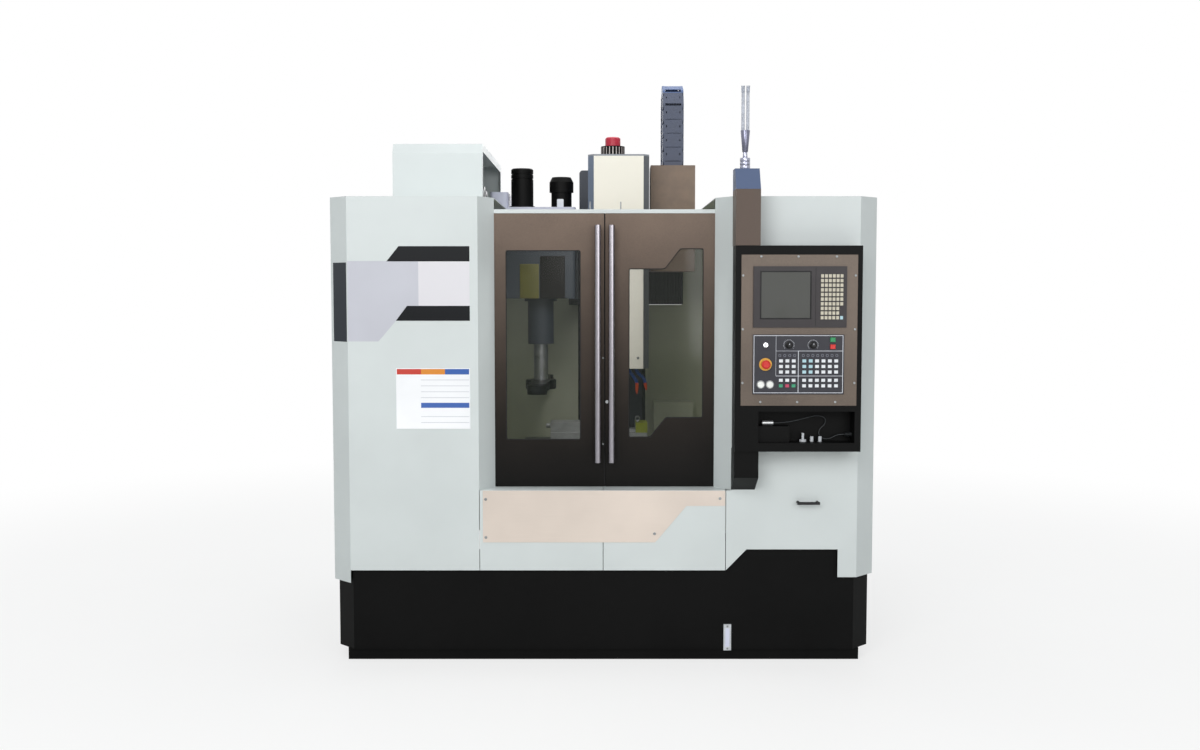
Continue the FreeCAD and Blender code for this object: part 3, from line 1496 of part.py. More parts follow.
def ring_groove(drop):
    """The corners of a groove round the magazine motor, this far below its top."""
    low = f"magazine_motor_top - cam_high - {drop}"
    floor = "magazine_motor_radius - motor_ring_depth"
    return [
        ("magazine_motor_radius", low),
        (floor, low),
        (floor, low + " + motor_ring_width"),
        ("magazine_motor_radius", low + " + motor_ring_width"),
    ]


def changer_motors():
    magazine_profile = [
        ("0", "0"),
        ("magazine_motor_radius + magazine_motor_foot", "0"),
        ("magazine_motor_radius + magazine_motor_foot", "magazine_motor_foot_plate"),
        ("magazine_motor_radius", "magazine_motor_foot_plate"),
        *ring_groove("motor_ring_low"),
        *ring_groove("motor_ring_high"),
        ("magazine_motor_radius", "magazine_motor_top - cam_high - motor_top_bevel"),
        ("magazine_motor_radius - motor_top_bevel", "magazine_motor_top - cam_high"),
        ("0", "magazine_motor_top - cam_high"),
    ]
    finish("magazine_motor", turned("magazine_motor_body", "z", ("magazine_motor_x", "spindle_y"), "cam_high",
                                    magazine_profile))
    arm_profile = [
        ("0", "0"),
        ("arm_motor_radius - arm_cowl_step", "0"),
        ("arm_motor_radius - arm_cowl_step", "arm_motor_top - cam_high - arm_cowl_height"),
        ("arm_motor_radius", "arm_motor_top - cam_high - arm_cowl_height"),
        ("arm_motor_radius", "arm_motor_top - cam_high - arm_cowl_slope"),
        ("arm_motor_radius - arm_cowl_bevel", "arm_motor_top - cam_high"),
        ("0", "arm_motor_top - cam_high"),
    ]
    finish("arm_motor", turned("arm_motor_body", "z", ("arm_motor_x", "spindle_y"), "cam_high", arm_profile))


def arm_shaft():
    top = "cam_low + cam_bore_depth - shaft_end_room"
    shaft = cylinder("arm_shaft_bar", "shaft_radius", "z", ("arm_pivot_x", "spindle_y"),
                     "arm_bottom + arm_thickness + flat_gap", top)
    pin = cylinder("arm_shaft_pin", "shaft_radius / 2", "z", ("arm_pivot_x", "spindle_y"),
                   "arm_bottom - arm_nut_height", "arm_bottom + arm_thickness + arm_pin_reach")
    nut = cylinder("arm_shaft_nut", "arm_nut_radius", "z", ("arm_pivot_x", "spindle_y"),
                   "arm_bottom - arm_nut_height", "arm_bottom - flat_gap")
    finish("arm_shaft", joined("arm_shaft_fuse", shaft, pin, nut))


def tool_arm():
    """The double arm, parked along Y, with an open gripper at each end."""
    low = "arm_bottom"
    high = "arm_bottom + arm_thickness"
    hub = cylinder("arm_hub", "arm_hub_radius", "z", ("arm_pivot_x", "spindle_y"), low, high)
    bar = pad("arm_bar", "XY_Plane", [
        ("arm_pivot_x - arm_half_width", "spindle_y"),
        ("arm_pivot_x - arm_waist", f"spindle_y - ({ARM_REACH})"),
        ("arm_pivot_x + arm_waist", f"spindle_y - ({ARM_REACH})"),
        ("arm_pivot_x + arm_half_width", "spindle_y"),
        ("arm_pivot_x + arm_waist", f"spindle_y + {ARM_REACH}"),
        ("arm_pivot_x - arm_waist", f"spindle_y + {ARM_REACH}"),
    ], low, high)
    heads = []
    tools = [cylinder("arm_bore", "shaft_radius / 2 + bore_gap", "z", ("arm_pivot_x", "spindle_y"),
                      low + " - 1", high + " + 1")]
    for side in (-1, 1):
        y = f"spindle_y + {side} * ({ARM_REACH})"
        heads.append(cylinder(f"arm_head_{side}", "arm_half_width", "z", ("arm_pivot_x", y), low, high))
        tools.append(cylinder(f"arm_grip_{side}", "grip_radius", "z", ("arm_pivot_x", y), low + " - 1", high + " + 1"))
        mouth = ("arm_pivot_x", "arm_pivot_x + arm_half_width + 1") if side < 0 else (
            "arm_pivot_x - arm_half_width - 1", "arm_pivot_x")
        tools.append(box(f"arm_mouth_{side}", mouth, (f"{y} - grip_mouth", f"{y} + grip_mouth"),
                         (low + " - 1", high + " + 1")))
    finish("tool_arm", cut("tool_arm_cut", joined("arm_joined", hub, bar, *heads), *tools))


def magazine_cover():
    """The magazine's sheet cover, open towards the arm and below, with the disc's axle inside."""
    def profile(inset, low):
        return [
            (f"magazine_front + {inset}", low),
            (f"magazine_front + {inset}", f"magazine_high - magazine_chamfer - 0.4 * {inset}"),
            (f"magazine_front + magazine_chamfer * 0.6 + 0.4 * {inset}", f"magazine_high - {inset}"),
            (f"magazine_rear - {inset}", f"magazine_high - {inset}"),
            (f"magazine_rear - {inset}", low),
        ]
    shell = pad("magazine_shell", "YZ_Plane", profile("0", "magazine_low"), "magazine_left", "magazine_right")
    hollow = pad("magazine_hollow", "YZ_Plane", profile("magazine_wall", "magazine_low - 1"),
                 "magazine_left + magazine_wall", "magazine_right - magazine_wall")
    side = pad("magazine_side", "YZ_Plane", profile("magazine_flange", "magazine_low - 1"),
               "magazine_right - magazine_side_depth", "magazine_right + 1")
    axle = cylinder("magazine_axle", "axle_radius", "x", ("disc_y", "disc_z"), "magazine_left + 1",
                    "disc_back_x + disc_thickness + axle_end")
    boss = cylinder("magazine_boss", "hub_radius", "x", ("disc_y", "disc_z"), "magazine_left + 1",
                    "disc_back_x - hub_depth - flat_gap")
    hub_clear = joined("magazine_joined", cut("magazine_cut", shell, hollow, side), axle, boss)
    finish("magazine_cover", hub_clear)


def pot(angle):
    """One tool pot, pointing along +X on the disc's rim, at an angle about the disc."""
    centre = FreeCAD.Vector(0, size("pot_circle"), 0)
    length = size("pot_length")
    floor = size("pot_floor")
    cup = Part.makeCylinder(size("pot_radius"), length, centre, FreeCAD.Vector(1, 0, 0))
    bore = Part.makeCylinder(size("pot_bore"), length - floor, centre + FreeCAD.Vector(floor, 0, 0),
                             FreeCAD.Vector(1, 0, 0))
    cup = cup.cut(bore)
    cup.rotate(FreeCAD.Vector(), FreeCAD.Vector(1, 0, 0), angle)
    return cup


def pot_x():
    """Where the pots' back ends and the change pot's trunnions lie along the disc's axis."""
    return size("disc_back_x") + size("disc_thickness") + size("pot_stand_off")


def pot_ears():
    """The two ears on the disc that hold the change pot by its trunnions."""
    ear = size("trunnion_ear")
    root = size("disc_radius") - size("pot_arm_root")
    inner = size("pot_radius") + size("bore_gap")
    reach = size("pot_circle") + size("trunnion_reach") - root
    plates = [Part.makeBox(pot_x() + size("trunnion_reach") - size("disc_back_x"), reach, ear,
                           FreeCAD.Vector(size("disc_back_x"), root, z))
              for z in (inner, -inner - ear)]
    bore = Part.makeCylinder(size("trunnion_radius") + size("flat_gap"), 4 * inner,
                             FreeCAD.Vector(pot_x(), size("pot_circle"), -2 * inner))
    ears = [plate.cut(bore) for plate in plates]
    for item in ears:
        item.rotate(FreeCAD.Vector(), FreeCAD.Vector(1, 0, 0), 270)
    return ears


def magazine_disc():
    """The disc with its hub and all its pots but the one at the change place."""
    count = int(size("pot_count"))
    thickness = size("disc_thickness")
    back = size("disc_back_x")
    hub_depth = size("hub_depth")
    root = size("disc_radius") - size("pot_arm_root")
    arm_width = size("pot_arm_width")
    axis = FreeCAD.Vector(1, 0, 0)
    disc = Part.makeCylinder(size("disc_radius"), thickness, FreeCAD.Vector(back, 0, 0), axis)
    hub = Part.makeCylinder(size("hub_radius"), thickness + hub_depth, FreeCAD.Vector(back - hub_depth, 0, 0), axis)
    shapes = [disc.fuse(hub)]
    for index in range(count):
        angle = 360 * index / count
        is_change_place = index == round(count * 3 / 4)
        arm = Part.makeBox(thickness, size("pot_circle") - root, arm_width,
                           FreeCAD.Vector(back, root, -arm_width / 2))
        arm.rotate(FreeCAD.Vector(), axis, angle)
        if not is_change_place:
            cup = pot(angle)
            cup.translate(FreeCAD.Vector(back + thickness - size("pot_seat"), 0, 0))
            shapes.extend([arm, cup])
    hole_count = int(size("lightening_count"))
    lightening = []
    for index in range(hole_count):
        hole = Part.makeCylinder(size("lightening_radius"), thickness,
                                 FreeCAD.Vector(back, size("lightening_circle"), 0), axis)
        hole.rotate(FreeCAD.Vector(), axis, 360 * (index + 0.5) / hole_count)
        lightening.append(hole)
    whole = shapes[0].cut(lightening).fuse(shapes[1:] + pot_ears())
    bore = Part.makeCylinder(size("axle_radius") + size("bore_gap"), 2 * (thickness + hub_depth),
                             FreeCAD.Vector(back - hub_depth - 1, 0, 0), axis)
    item = document.addObject("Part::Feature", "magazine_disc_body")
    item.Shape = whole.cut(bore)
    item.Placement.Base = FreeCAD.Vector(0, size("disc_y"), size("disc_z"))
    finish("magazine_disc", item)


def change_pot():
    """The pot at the change place, which tips down to hand over its tool."""
    half = size("pot_radius") + size("bore_gap") + size("trunnion_ear")
    trunnion = Part.makeCylinder(size("trunnion_radius"), 2 * half, FreeCAD.Vector(0, size("pot_circle"), -half))
    trunnion.rotate(FreeCAD.Vector(), FreeCAD.Vector(1, 0, 0), 270)
    cup = pot(270)
    for shape in (cup, trunnion):
        shape.translate(FreeCAD.Vector(pot_x(), 0, 0))
    item = document.addObject("Part::Feature", "change_pot_body")
    item.Shape = cup.fuse(trunnion)
    item.Placement.Base = FreeCAD.Vector(0, size("disc_y"), size("disc_z"))
    finish("change_pot", item)


def panel_arms():
    """The two brackets that carry the control box on its pivot pins."""
    upper = pad("upper_arm_block", "YZ_Plane", [
        ("front_y", "box_high + slide_gap"),
        ("box_front", "box_high + slide_gap"),
        ("box_front", "upper_arm_knee_z"),
        ("front_y - upper_arm_top_depth", "upper_arm_top"),
        ("front_y", "upper_arm_top"),
    ], "box_left", "arm_right")
    upper_pin = cylinder("upper_arm_pin", "swing_pin_radius", "z", ("swing_x", "swing_y"),
                         "box_high - swing_pin_length", "box_high + slide_gap")
    finish("panel_arm_upper", joined("panel_arm_upper_fuse", upper, upper_pin))
    lower = pad("lower_arm_block", "YZ_Plane", [
        ("front_y", "lower_arm_low"),
        ("front_y", "box_low - slide_gap"),
        ("lower_arm_front", "box_low - slide_gap"),
        ("lower_arm_front", "lower_arm_knee_z"),
    ], "box_left", "arm_right")
    lower_pin = cylinder("lower_arm_pin", "swing_pin_radius", "z", ("swing_x", "swing_y"),
                         "box_low - slide_gap", "box_low + swing_pin_length")
    finish("panel_arm_lower", joined("panel_arm_lower_fuse", lower, lower_pin))


def control_box():
    """The pendant: a closed box with an open tray below, its fittings and its pivot bores."""
    block = box("control_block", ("box_left", "box_right"), ("box_front", "box_back"), ("box_low", "box_high"))
    tray = box("control_tray", ("tray_left", "tray_right"), ("box_front - 1", "box_front + tray_depth"),
               ("tray_low", "tray_high"))
    bores = [cylinder(f"control_bore_{end}", "swing_pin_radius + slide_gap", "z", ("swing_x", "swing_y"), low, high)
             for end, low, high in (("low", "box_low - 1", "box_low + swing_pin_length + slide_gap"),
                                    ("high", "box_high - swing_pin_length - slide_gap", "box_high + 1"))]
    shelf = box("control_shelf", ("tray_left", "tray_block_right"),
                ("box_front + tray_depth - tray_block_depth", "box_front + tray_depth"),
                ("tray_low", "tray_block_top"))
    stud_y = "box_front + tray_depth - tray_stud_inset"
    stud = cylinder("tray_stud", "tray_stud_radius", "z", ("tray_stud_x", stud_y),
                    "tray_low", "tray_low + tray_stud_height")
    pin = cylinder("tray_pin", "tray_pin_radius", "z", ("tray_stud_x", stud_y),
                   "tray_low + tray_stud_height", "tray_low + tray_pin_height")
    posts = [cylinder(f"tray_post_{index}", "tray_post_radius", "z",
                      (f"tray_post_x + {index} * tray_post_pitch", stud_y), "tray_low", "tray_low + tray_post_height")
             for index in range(2)]
    x, y, z = CABLE_ROUTE[0]
    relief = cylinder("tray_relief", "relief_radius", "x", (str(y), str(z)), str(x), "tray_right + 1")
    finish("control_box", joined("control_box_fuse", cut("control_box_cut", block, tray, *bores),
                                 shelf, stud, pin, *posts, relief))


def button_bores(name):
    """The bores that the pressed buttons slide in, through the operator panel and the plate."""
    through = (OPERATOR_FACE + " - push_rise", "box_front")
    holes = [(x, z, "round_radius") for x, z in ROUND_BUTTONS.values()] + [
        ("key_switch_x", "stop_z", "stop_stem_radius")]
    bores = [cylinder(f"{name}_bore_{index}", f"{radius} + flat_gap", "y", (x, z), *through)
             for index, (x, z, radius) in enumerate(holes)]
    bores += [box(f"{name}_{button}_hole", (f"{x} - push_width / 2 - flat_gap", f"{x} + push_width / 2 + flat_gap"),
                  through, (f"{z} - push_height / 2 - flat_gap", f"{z} + push_height / 2 + flat_gap"))
              for button, (x, z) in SQUARE_BUTTONS.items()]
    return bores


def panel_plate():
    plate = box("plate_sheet", ("plate_left", "plate_right"), (PLATE_FACE, "box_front"), ("plate_low", "plate_high"))
    finish("panel_plate", cut("panel_plate_cut", plate, *button_bores("plate")))


def display_unit():
    """The screen's housing with its recess, and its block of small keys."""
    face = PLATE_FACE + " - display_depth"
    frame = box("display_frame", ("display_left", "display_right"), (face, PLATE_FACE),
                ("display_low", "display_high"))
    recess = box("display_recess", ("glass_left", "glass_right"), (face + " - 1", face + " + glass_depth"),
                 ("glass_low", "glass_high"))
    keys = []
    for row in range(10):
        columns = 5 if row in (7, 8) else 6
        for column in range(columns):
            x = f"key_left + {column} * key_pitch_x"
            z = f"key_high - {row} * key_pitch_z"
            keys.append(box(f"display_key_{row}_{column}", (f"{x} - key_width / 2", f"{x} + key_width / 2"),
                            (face + " - key_rise", face + " + 1"), (f"{z} - key_height / 2", f"{z} + key_height / 2")))
    finish("display_unit", joined("display_unit_fuse", cut("display_cut", frame, recess), *keys))
    glass = box("display_glass_pane", ("glass_left + flat_gap", "glass_right - flat_gap"),
                (face + " + 1", face + " + glass_depth"), ("glass_low + flat_gap", "glass_high - flat_gap"))
    finish("display_glass", glass)


def operator_panel():
    """The lower key panel: its pads of keys, the emergency stop's ring and the buttons' bores."""
    face = OPERATOR_FACE
    block = box("operator_block", ("operator_left", "operator_right"), (face, PLATE_FACE),
                ("operator_low", "operator_high"))
    keys = []
    for pad_name, left, columns, high, rows in (
            ("left_high", "pad_left", 3, "pad_high", 3),
            ("left_low", "pad_left", 3, "pad_low", 2),
            ("right_high", "pad_right", 6, "pad_high", 3),
            ("right_low", "pad_right", 6, "pad_low", 2)):
        for row in range(rows):
            for column in range(columns):
                x = f"{left} + {column} * pad_pitch_x"
                z = f"{high} - {row} * pad_pitch_z"
                keys.append(box(f"pad_key_{pad_name}_{row}_{column}", (f"{x} - pad_key / 2", f"{x} + pad_key / 2"),
                                (face + " - key_rise", face + " + 1"),
                                (f"{z} - pad_key_height / 2", f"{z} + pad_key_height / 2")))
    ring = cylinder("stop_ring", "stop_ring_radius", "y", ("key_switch_x", "stop_z"),
                    face + " - stop_ring_rise", face + " + 1")
    finish("operator_panel", cut("operator_panel_cut", joined("operator_joined", block, *keys, ring),
                                 *button_bores("operator")))


def front_turned(name, x, z, start, profile):
    """A turned knob or button that stands out of the panel towards the operator."""
    body = turned(name, "y", (x, z), start, profile)
    body.Placement.Rotation = FreeCAD.Rotation(FreeCAD.Vector(1, 0, 0), 90)
    return body


def knob(name, x):
    start = OPERATOR_FACE + " - flat_gap"
    body = front_turned(name + "_body", x, "upper_row_z", start, [
        ("0", "0"),
        ("knob_radius", "0"),
        ("knob_radius", "knob_skirt"),
        ("knob_grip_radius", "knob_skirt + 2"),
        ("knob_grip_radius - 1", "knob_height - knob_top_bevel"),
        ("knob_grip_radius - knob_top_bevel - 1", "knob_height"),
        ("0", "knob_height"),
    ])
    finish(name, slotted(body, [
        ("knob_grip_radius - 1 - knob_flute", "-knob_flute_width / 2"),
        ("knob_grip_radius + 1", "-knob_flute_width / 2"),
        ("knob_grip_radius + 1", "knob_flute_width / 2"),
        ("knob_grip_radius - 1 - knob_flute", "knob_flute_width / 2"),
    ], "knob_height + 1", "knob_height - knob_skirt - 2", "knob_flutes"))


BUTTON_HEIGHT = "push_rise + button_depth - button_travel - flat_gap"


def round_button(name, x, z):
    """A round button whose skirt slides in its bore in the panel."""
    finish(name, front_turned(name + "_body", x, z, BUTTON_BACK, [
        ("0", "0"),
        ("round_radius", "0"),
        ("round_radius", f"{BUTTON_HEIGHT} - push_bevel"),
        ("round_radius - push_bevel", BUTTON_HEIGHT),
        ("0", BUTTON_HEIGHT),
    ]))


def square_button(name, x, z):
    """A square-cornered button with a bevelled face, which slides in a hole of its own shape."""
    block = box(name + "_block", (f"{x} - push_width / 2", f"{x} + push_width / 2"),
                (f"{BUTTON_BACK} - ({BUTTON_HEIGHT})", BUTTON_BACK),
                (f"{z} - push_height / 2", f"{z} + push_height / 2"))
    finish(name, eased("Part::Chamfer", name + "_bevelled", block, "push_bevel",
                       lambda edge: edge.BoundBox.YMax < block.Shape.BoundBox.YMin + 0.01))


def operator_controls():
    knob("feed_knob", "feed_knob_x")
    knob("spindle_knob", "spindle_knob_x")
    key_start = OPERATOR_FACE + " - flat_gap"
    barrel = front_turned("key_barrel", "key_switch_x", "upper_row_z", key_start, [
        ("0", "0"),
        ("key_barrel_radius", "0"),
        ("key_barrel_radius", "key_collar_height"),
        ("key_barrel_radius - key_collar_bevel", "key_collar_height + key_collar_bevel"),
        ("0", "key_collar_height + key_collar_bevel"),
    ])
    blade = box("key_blade", ("key_switch_x - key_blade_half", "key_switch_x + key_blade_half"),
                (OPERATOR_FACE + " - key_blade_reach", OPERATOR_FACE + " - key_collar_height"),
                ("upper_row_z - key_blade_height / 2", "upper_row_z + key_blade_height / 2"))
    finish("key_switch", joined("key_switch_fuse", barrel, blade))
    skirt = "button_depth + stop_ring_rise"
    top = "button_depth - button_travel - flat_gap + stop_rise"
    finish("emergency_stop", front_turned("emergency_stop_body", "key_switch_x", "stop_z", BUTTON_BACK, [
        ("0", "0"),
        ("stop_stem_radius", "0"),
        ("stop_stem_radius", skirt),
        ("stop_radius", f"{skirt} + stop_skirt_bevel"),
        ("stop_radius", f"{top} - stop_crown_height"),
        ("stop_radius - stop_crown_bevel", top),
        ("0", top),
    ]))
    for name, (x, z) in ROUND_BUTTONS.items():
        round_button(name, x, z)
    for name, (x, z) in SQUARE_BUTTONS.items():
        square_button(name, x, z)


def signal_lamp():
    low = "upper_arm_top"
    base_top = low + " + lamp_base_height"
    neck_top = base_top + " + lamp_neck_height"
    sleeve_top = neck_top + " + lamp_sleeve_height"
    centre = ("lamp_x", "lamp_y")
    base = cylinder("lamp_base", "lamp_base_radius", "z", centre, low, base_top)
    neck = cylinder("lamp_neck", "lamp_neck_radius", "z", centre, base_top + " - 1", neck_top + " + 1")
    sleeve = cone("lamp_sleeve", "lamp_sleeve_foot", "lamp_sleeve_radius", "z", centre, neck_top, sleeve_top)
    tubes = [cylinder(f"lamp_tube_{side}", "lamp_tube_radius", "z", (f"lamp_x + {side} * lamp_tube_offset", "lamp_y"),
                      sleeve_top + " - 1", sleeve_top + " + lamp_tube_height") for side in (-1, 1)]
    finish("signal_lamp", joined("signal_lamp_fuse", base, neck, sleeve, *tubes))


def electrical_cabinet():
    """The rear cabinet with its hinged door and the main switch on the door."""
    wall = "electric_wall"
    shell = box("electric_shell", ("electric_left", HALF), ("side_rear_y", "electric_rear"),
                ("base_top", "electric_top"))
    hollow = box("electric_hollow", (f"electric_left + {wall}", f"{HALF} - {wall}"),
                 (f"side_rear_y + {wall}", "electric_rear + 1"), (f"base_top + {wall}", f"electric_top - {wall}"))
    plate = box("electric_plate_sheet", ("electric_left + electric_plate_inset", f"{HALF} - electric_plate_inset"),
                (f"side_rear_y + {wall}", f"side_rear_y + {wall} + electric_plate"),
                ("base_top + electric_plate_inset", "electric_top - electric_plate_inset"))
    hinge_x = f"{HALF} - hinge_radius - hinge_edge"
    hinge_y = "electric_rear + electric_door / 2"
    fixed = []
    moving = []
    bores = []
    for index, low in enumerate(("base_top + hinge_low_inset", "electric_top - hinge_high_inset")):
        middle = low + " + knuckle_height"
        fixed.append(cylinder(f"hinge_knuckle_{index}", "hinge_radius", "z", (hinge_x, hinge_y), low, middle))
        fixed.append(box(f"hinge_block_{index}", (f"{HALF} - 2 * hinge_radius - hinge_edge", HALF),
                         ("electric_rear - hinge_block_depth", hinge_y), (low, middle)))
        fixed.append(cylinder(f"hinge_pin_{index}", "hinge_pin_radius", "z", (hinge_x, hinge_y),
                              middle, middle + " + knuckle_height"))
        moving.append(cylinder(f"hinge_sleeve_{index}", "hinge_radius", "z", (hinge_x, hinge_y),
                               middle + " + slide_gap", middle + " + knuckle_height"))
        moving.append(box(f"hinge_strap_{index}", (f"{HALF} - 2 * hinge_radius - electric_door / 2", hinge_x),
                          (hinge_y + " - hinge_strap / 2", hinge_y + " + hinge_strap / 2"),
                          (middle + " + slide_gap", middle + " + knuckle_height")))
        bores.append(cylinder(f"hinge_bore_{index}", "hinge_pin_radius + flat_gap", "z", (hinge_x, hinge_y),
                              middle, middle + " + knuckle_height + 1"))
    finish("electrical_cabinet", joined("electrical_cabinet_fuse", cut("electric_cut", shell, hollow), plate,
                                        *fixed))
    door_left = "electric_left + electric_door_gap"
    door_right = f"{HALF} - 2 * hinge_radius - 2 * electric_door_gap"
    door_low = "base_top + electric_door_gap"
    door_high = "electric_top - electric_door_gap"
    door_rear = "electric_rear + electric_door"
    leaf = box("electric_door_leaf", (door_left, door_right), ("electric_rear + slide_gap", door_rear),
               (door_low, door_high))
    dish = box("electric_door_dish", (door_left + " + electric_door_edge", door_right + " - electric_door_edge"),
               ("electric_rear", door_rear + " - electric_door_skin"),
               (door_low + " + electric_door_edge", door_high + " - electric_door_edge"))
    middle_x = f"(electric_left + {HALF}) / 2"
    louvres = [box(f"door_louvre_{index}", (f"{middle_x} - louvre_width / 2", f"{middle_x} + louvre_width / 2"),
                   ("electric_rear", door_rear + " + 1"),
                   (f"louvre_low + {index} * louvre_pitch", f"louvre_low + {index} * louvre_pitch + louvre_height"))
               for index in range(int(size("louvre_count")))]
    finish("electrical_door", cut("electrical_door_cut", joined("electrical_door_joined", leaf, *moving),
                                  dish, *louvres, *bores))
    start = door_rear + " + flat_gap"
    rose = cylinder("switch_rose_disc", "switch_radius", "y", ("switch_x", "switch_z"),
                    start, start + " + switch_rose")
    grip = box("switch_grip", ("switch_x - switch_grip_half", "switch_x + switch_grip_half"),
               (start + " + switch_rose - 1", door_rear + " + switch_rise"),
               ("switch_z - switch_radius + switch_grip_inset", "switch_z + switch_radius - switch_grip_inset"))
    finish("main_switch", joined("main_switch_fuse", rose, grip))


def tray_cable():
    """The loose lead in the tray, from the relief on the right wall to its plug on the shelf."""
    route = [FreeCAD.Vector(*point) for point in CABLE_ROUTE]
    radius = size("cable_radius")
    edges = []
    start = route[0]
    report = []
    for before, corner, after in zip(route, route[1:], route[2:]):
        inward = corner - before
        outward = after - corner
        turn = inward.getAngle(outward)
        shorter = min(inward.Length, outward.Length)
        bend = 0.45 * shorter / math.tan(turn / 2)
        reach = 0.45 * shorter
        first = corner - inward.normalize() * reach
        last = corner + outward.normalize() * reach
        middle_way = (first + last) * 0.5 - corner
        middle_way.normalize()
        middle = corner + middle_way * (bend / math.cos(turn / 2) - bend)
        edges.append(Part.LineSegment(start, first).toShape())
        edges.append(Part.Arc(first, middle, last).toShape())
        report.append(round(bend, 1))
        start = last
    edges.append(Part.LineSegment(start, route[-1]).toShape())
    path = Part.Wire(edges)
    direction = (route[1] - route[0]).normalize()
    ring = Part.Wire(Part.makeCircle(radius, route[0], direction))
    tube = path.makePipeShell([ring], True, False)
    print("tray cable: length", round(path.Length, 1), "radii", report,
          "volume ratio", round(tube.Volume / (math.pi * radius ** 2 * path.Length), 4))
    item = document.addObject("Part::Feature", "tray_cable_tube")
    item.Shape = tube
    finish("tray_cable", item)


CABLE_ROUTE = [
    (1124, -1228, 1104),
    (1100, -1228, 1104),
    (1077, -1226, 1094),
    (1052, -1222, 1081),
    (1022, -1216, 1083),
    (1006, -1211, 1104),
    (1014, -1208, 1130),
    (1038, -1208, 1148),
    (1040, -1210, 1180),
    (1004, -1212, 1192),
    (960, -1216, 1184),
    (915, -1222, 1172),
    (868, -1231, 1163),
    (826, -1236, 1158.3),
    (790, -1236, 1158.3),
]


def cable_plug():
    """The plug that lies on the tray's shelf at the end of the lead."""
    x, y, z = CABLE_ROUTE[-1]
    finish("cable_plug", cylinder("plug_body", "plug_radius", "x", (str(y), str(z)), f"{x} - plug_length", str(x)))


def check_document():
    """Stop if any object failed, or any finished sub-part is empty or invalid."""
    document.recompute()
    for item in document.Objects:
        if "Invalid" in item.State or "Error" in item.State:
            raise RuntimeError(f"{item.Label}: {item.State}")
    for name, item in FINISHED.items():
        if item.Shape.isNull() or not item.Shape.isValid():
            raise RuntimeError(f"{name}: no valid shape")


def main():
    write_sizes()
    for build in (left_cabinet, right_cabinet, lower_front_panels, kick_plate, coolant_tank, level_gauge,
                  cabinet_handle, door_frame, doors, door_lock, cabin_walls, base_casting, levelling_feet, column,
                  saddle, table, vise, head_casting, spindle, spindle_motor, motor_cap, head_cover, chain_box,
                  cable_chain, coolant_hoses, cam_box, changer_motors, arm_shaft, tool_arm, magazine_cover,
                  magazine_disc, change_pot, panel_arms, control_box, panel_plate, display_unit, operator_panel,
                  operator_controls, signal_lamp, electrical_cabinet, tray_cable, cable_plug):
        build()
    door_handle("left_door_handle", "door_centre - handle_offset")
    door_handle("right_door_handle", "door_centre + handle_offset")
    check_document()
    for name, item in FINISHED.items():
        item.Shape.exportStep(f"parts/{name}.step")
    print(len(FINISHED), "sub-parts")


main()
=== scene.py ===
"""Looks of a CNC machining centre: its finishes, printed fields, key caps, seals and small fittings.

Metres. The machine's solids come as a fixed frame: +Z is up and the operator stands on the -Y side.
"""
import math

import bpy
from bpy.props import FloatProperty, FloatVectorProperty, IntProperty, PointerProperty
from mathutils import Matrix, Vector


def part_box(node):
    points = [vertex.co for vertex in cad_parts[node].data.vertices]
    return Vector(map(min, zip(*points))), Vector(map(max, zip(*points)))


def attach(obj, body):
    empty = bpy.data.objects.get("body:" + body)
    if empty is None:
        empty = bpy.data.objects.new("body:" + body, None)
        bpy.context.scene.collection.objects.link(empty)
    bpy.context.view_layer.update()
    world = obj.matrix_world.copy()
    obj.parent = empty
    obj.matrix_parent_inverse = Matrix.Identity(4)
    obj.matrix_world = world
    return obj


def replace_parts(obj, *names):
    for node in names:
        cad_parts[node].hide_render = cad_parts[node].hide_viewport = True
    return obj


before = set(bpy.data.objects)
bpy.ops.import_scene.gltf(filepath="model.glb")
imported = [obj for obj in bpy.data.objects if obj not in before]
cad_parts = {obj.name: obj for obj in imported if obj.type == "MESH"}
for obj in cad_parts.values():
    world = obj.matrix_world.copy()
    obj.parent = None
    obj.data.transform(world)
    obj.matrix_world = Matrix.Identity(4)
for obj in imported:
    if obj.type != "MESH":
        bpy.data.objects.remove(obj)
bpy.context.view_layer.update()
# A zone that has no limit at one end of an axis ends this far out, in metres
FAR = 9.0
# How squarely a face or an edge has to point one way to be chosen for it
SQUARE = 0.9

bl_info = {
    "name": "Machining Centre Looks",
    "version": (1, 1, 0),
    "blender": (4, 5, 0),
    "location": "View3D > Sidebar > Machining Centre",
    "description": "Finishes and small fittings for a CNC machining centre",
    "category": "Object",
}


def linear(hex_colour):
    """The linear colour of an sRGB hex value, with full alpha."""
    channels = []
    for start in (1, 3, 5):
        level = int(hex_colour[start:start + 2], 16) / 255
        channels.append(level / 12.92 if level <= 0.04045 else ((level + 0.055) / 1.055) ** 2.4)
    return (*channels, 1.0)


def colour_of(value):
    """The colour of a hex value, or a colour as it is."""
    return linear(value) if isinstance(value, str) else value


def colour_setting(name, description, hex_colour):
    """A colour that the sidebar shows."""
    return FloatVectorProperty(name=name, description=description, subtype="COLOR", size=4, min=0, max=1,
                               default=linear(hex_colour))


def length_setting(name, description, millimetres):
    """A length that the sidebar shows, kept in metres."""
    return FloatProperty(name=name, description=description, subtype="DISTANCE", unit="LENGTH", precision=5,
                         default=millimetres / 1000)


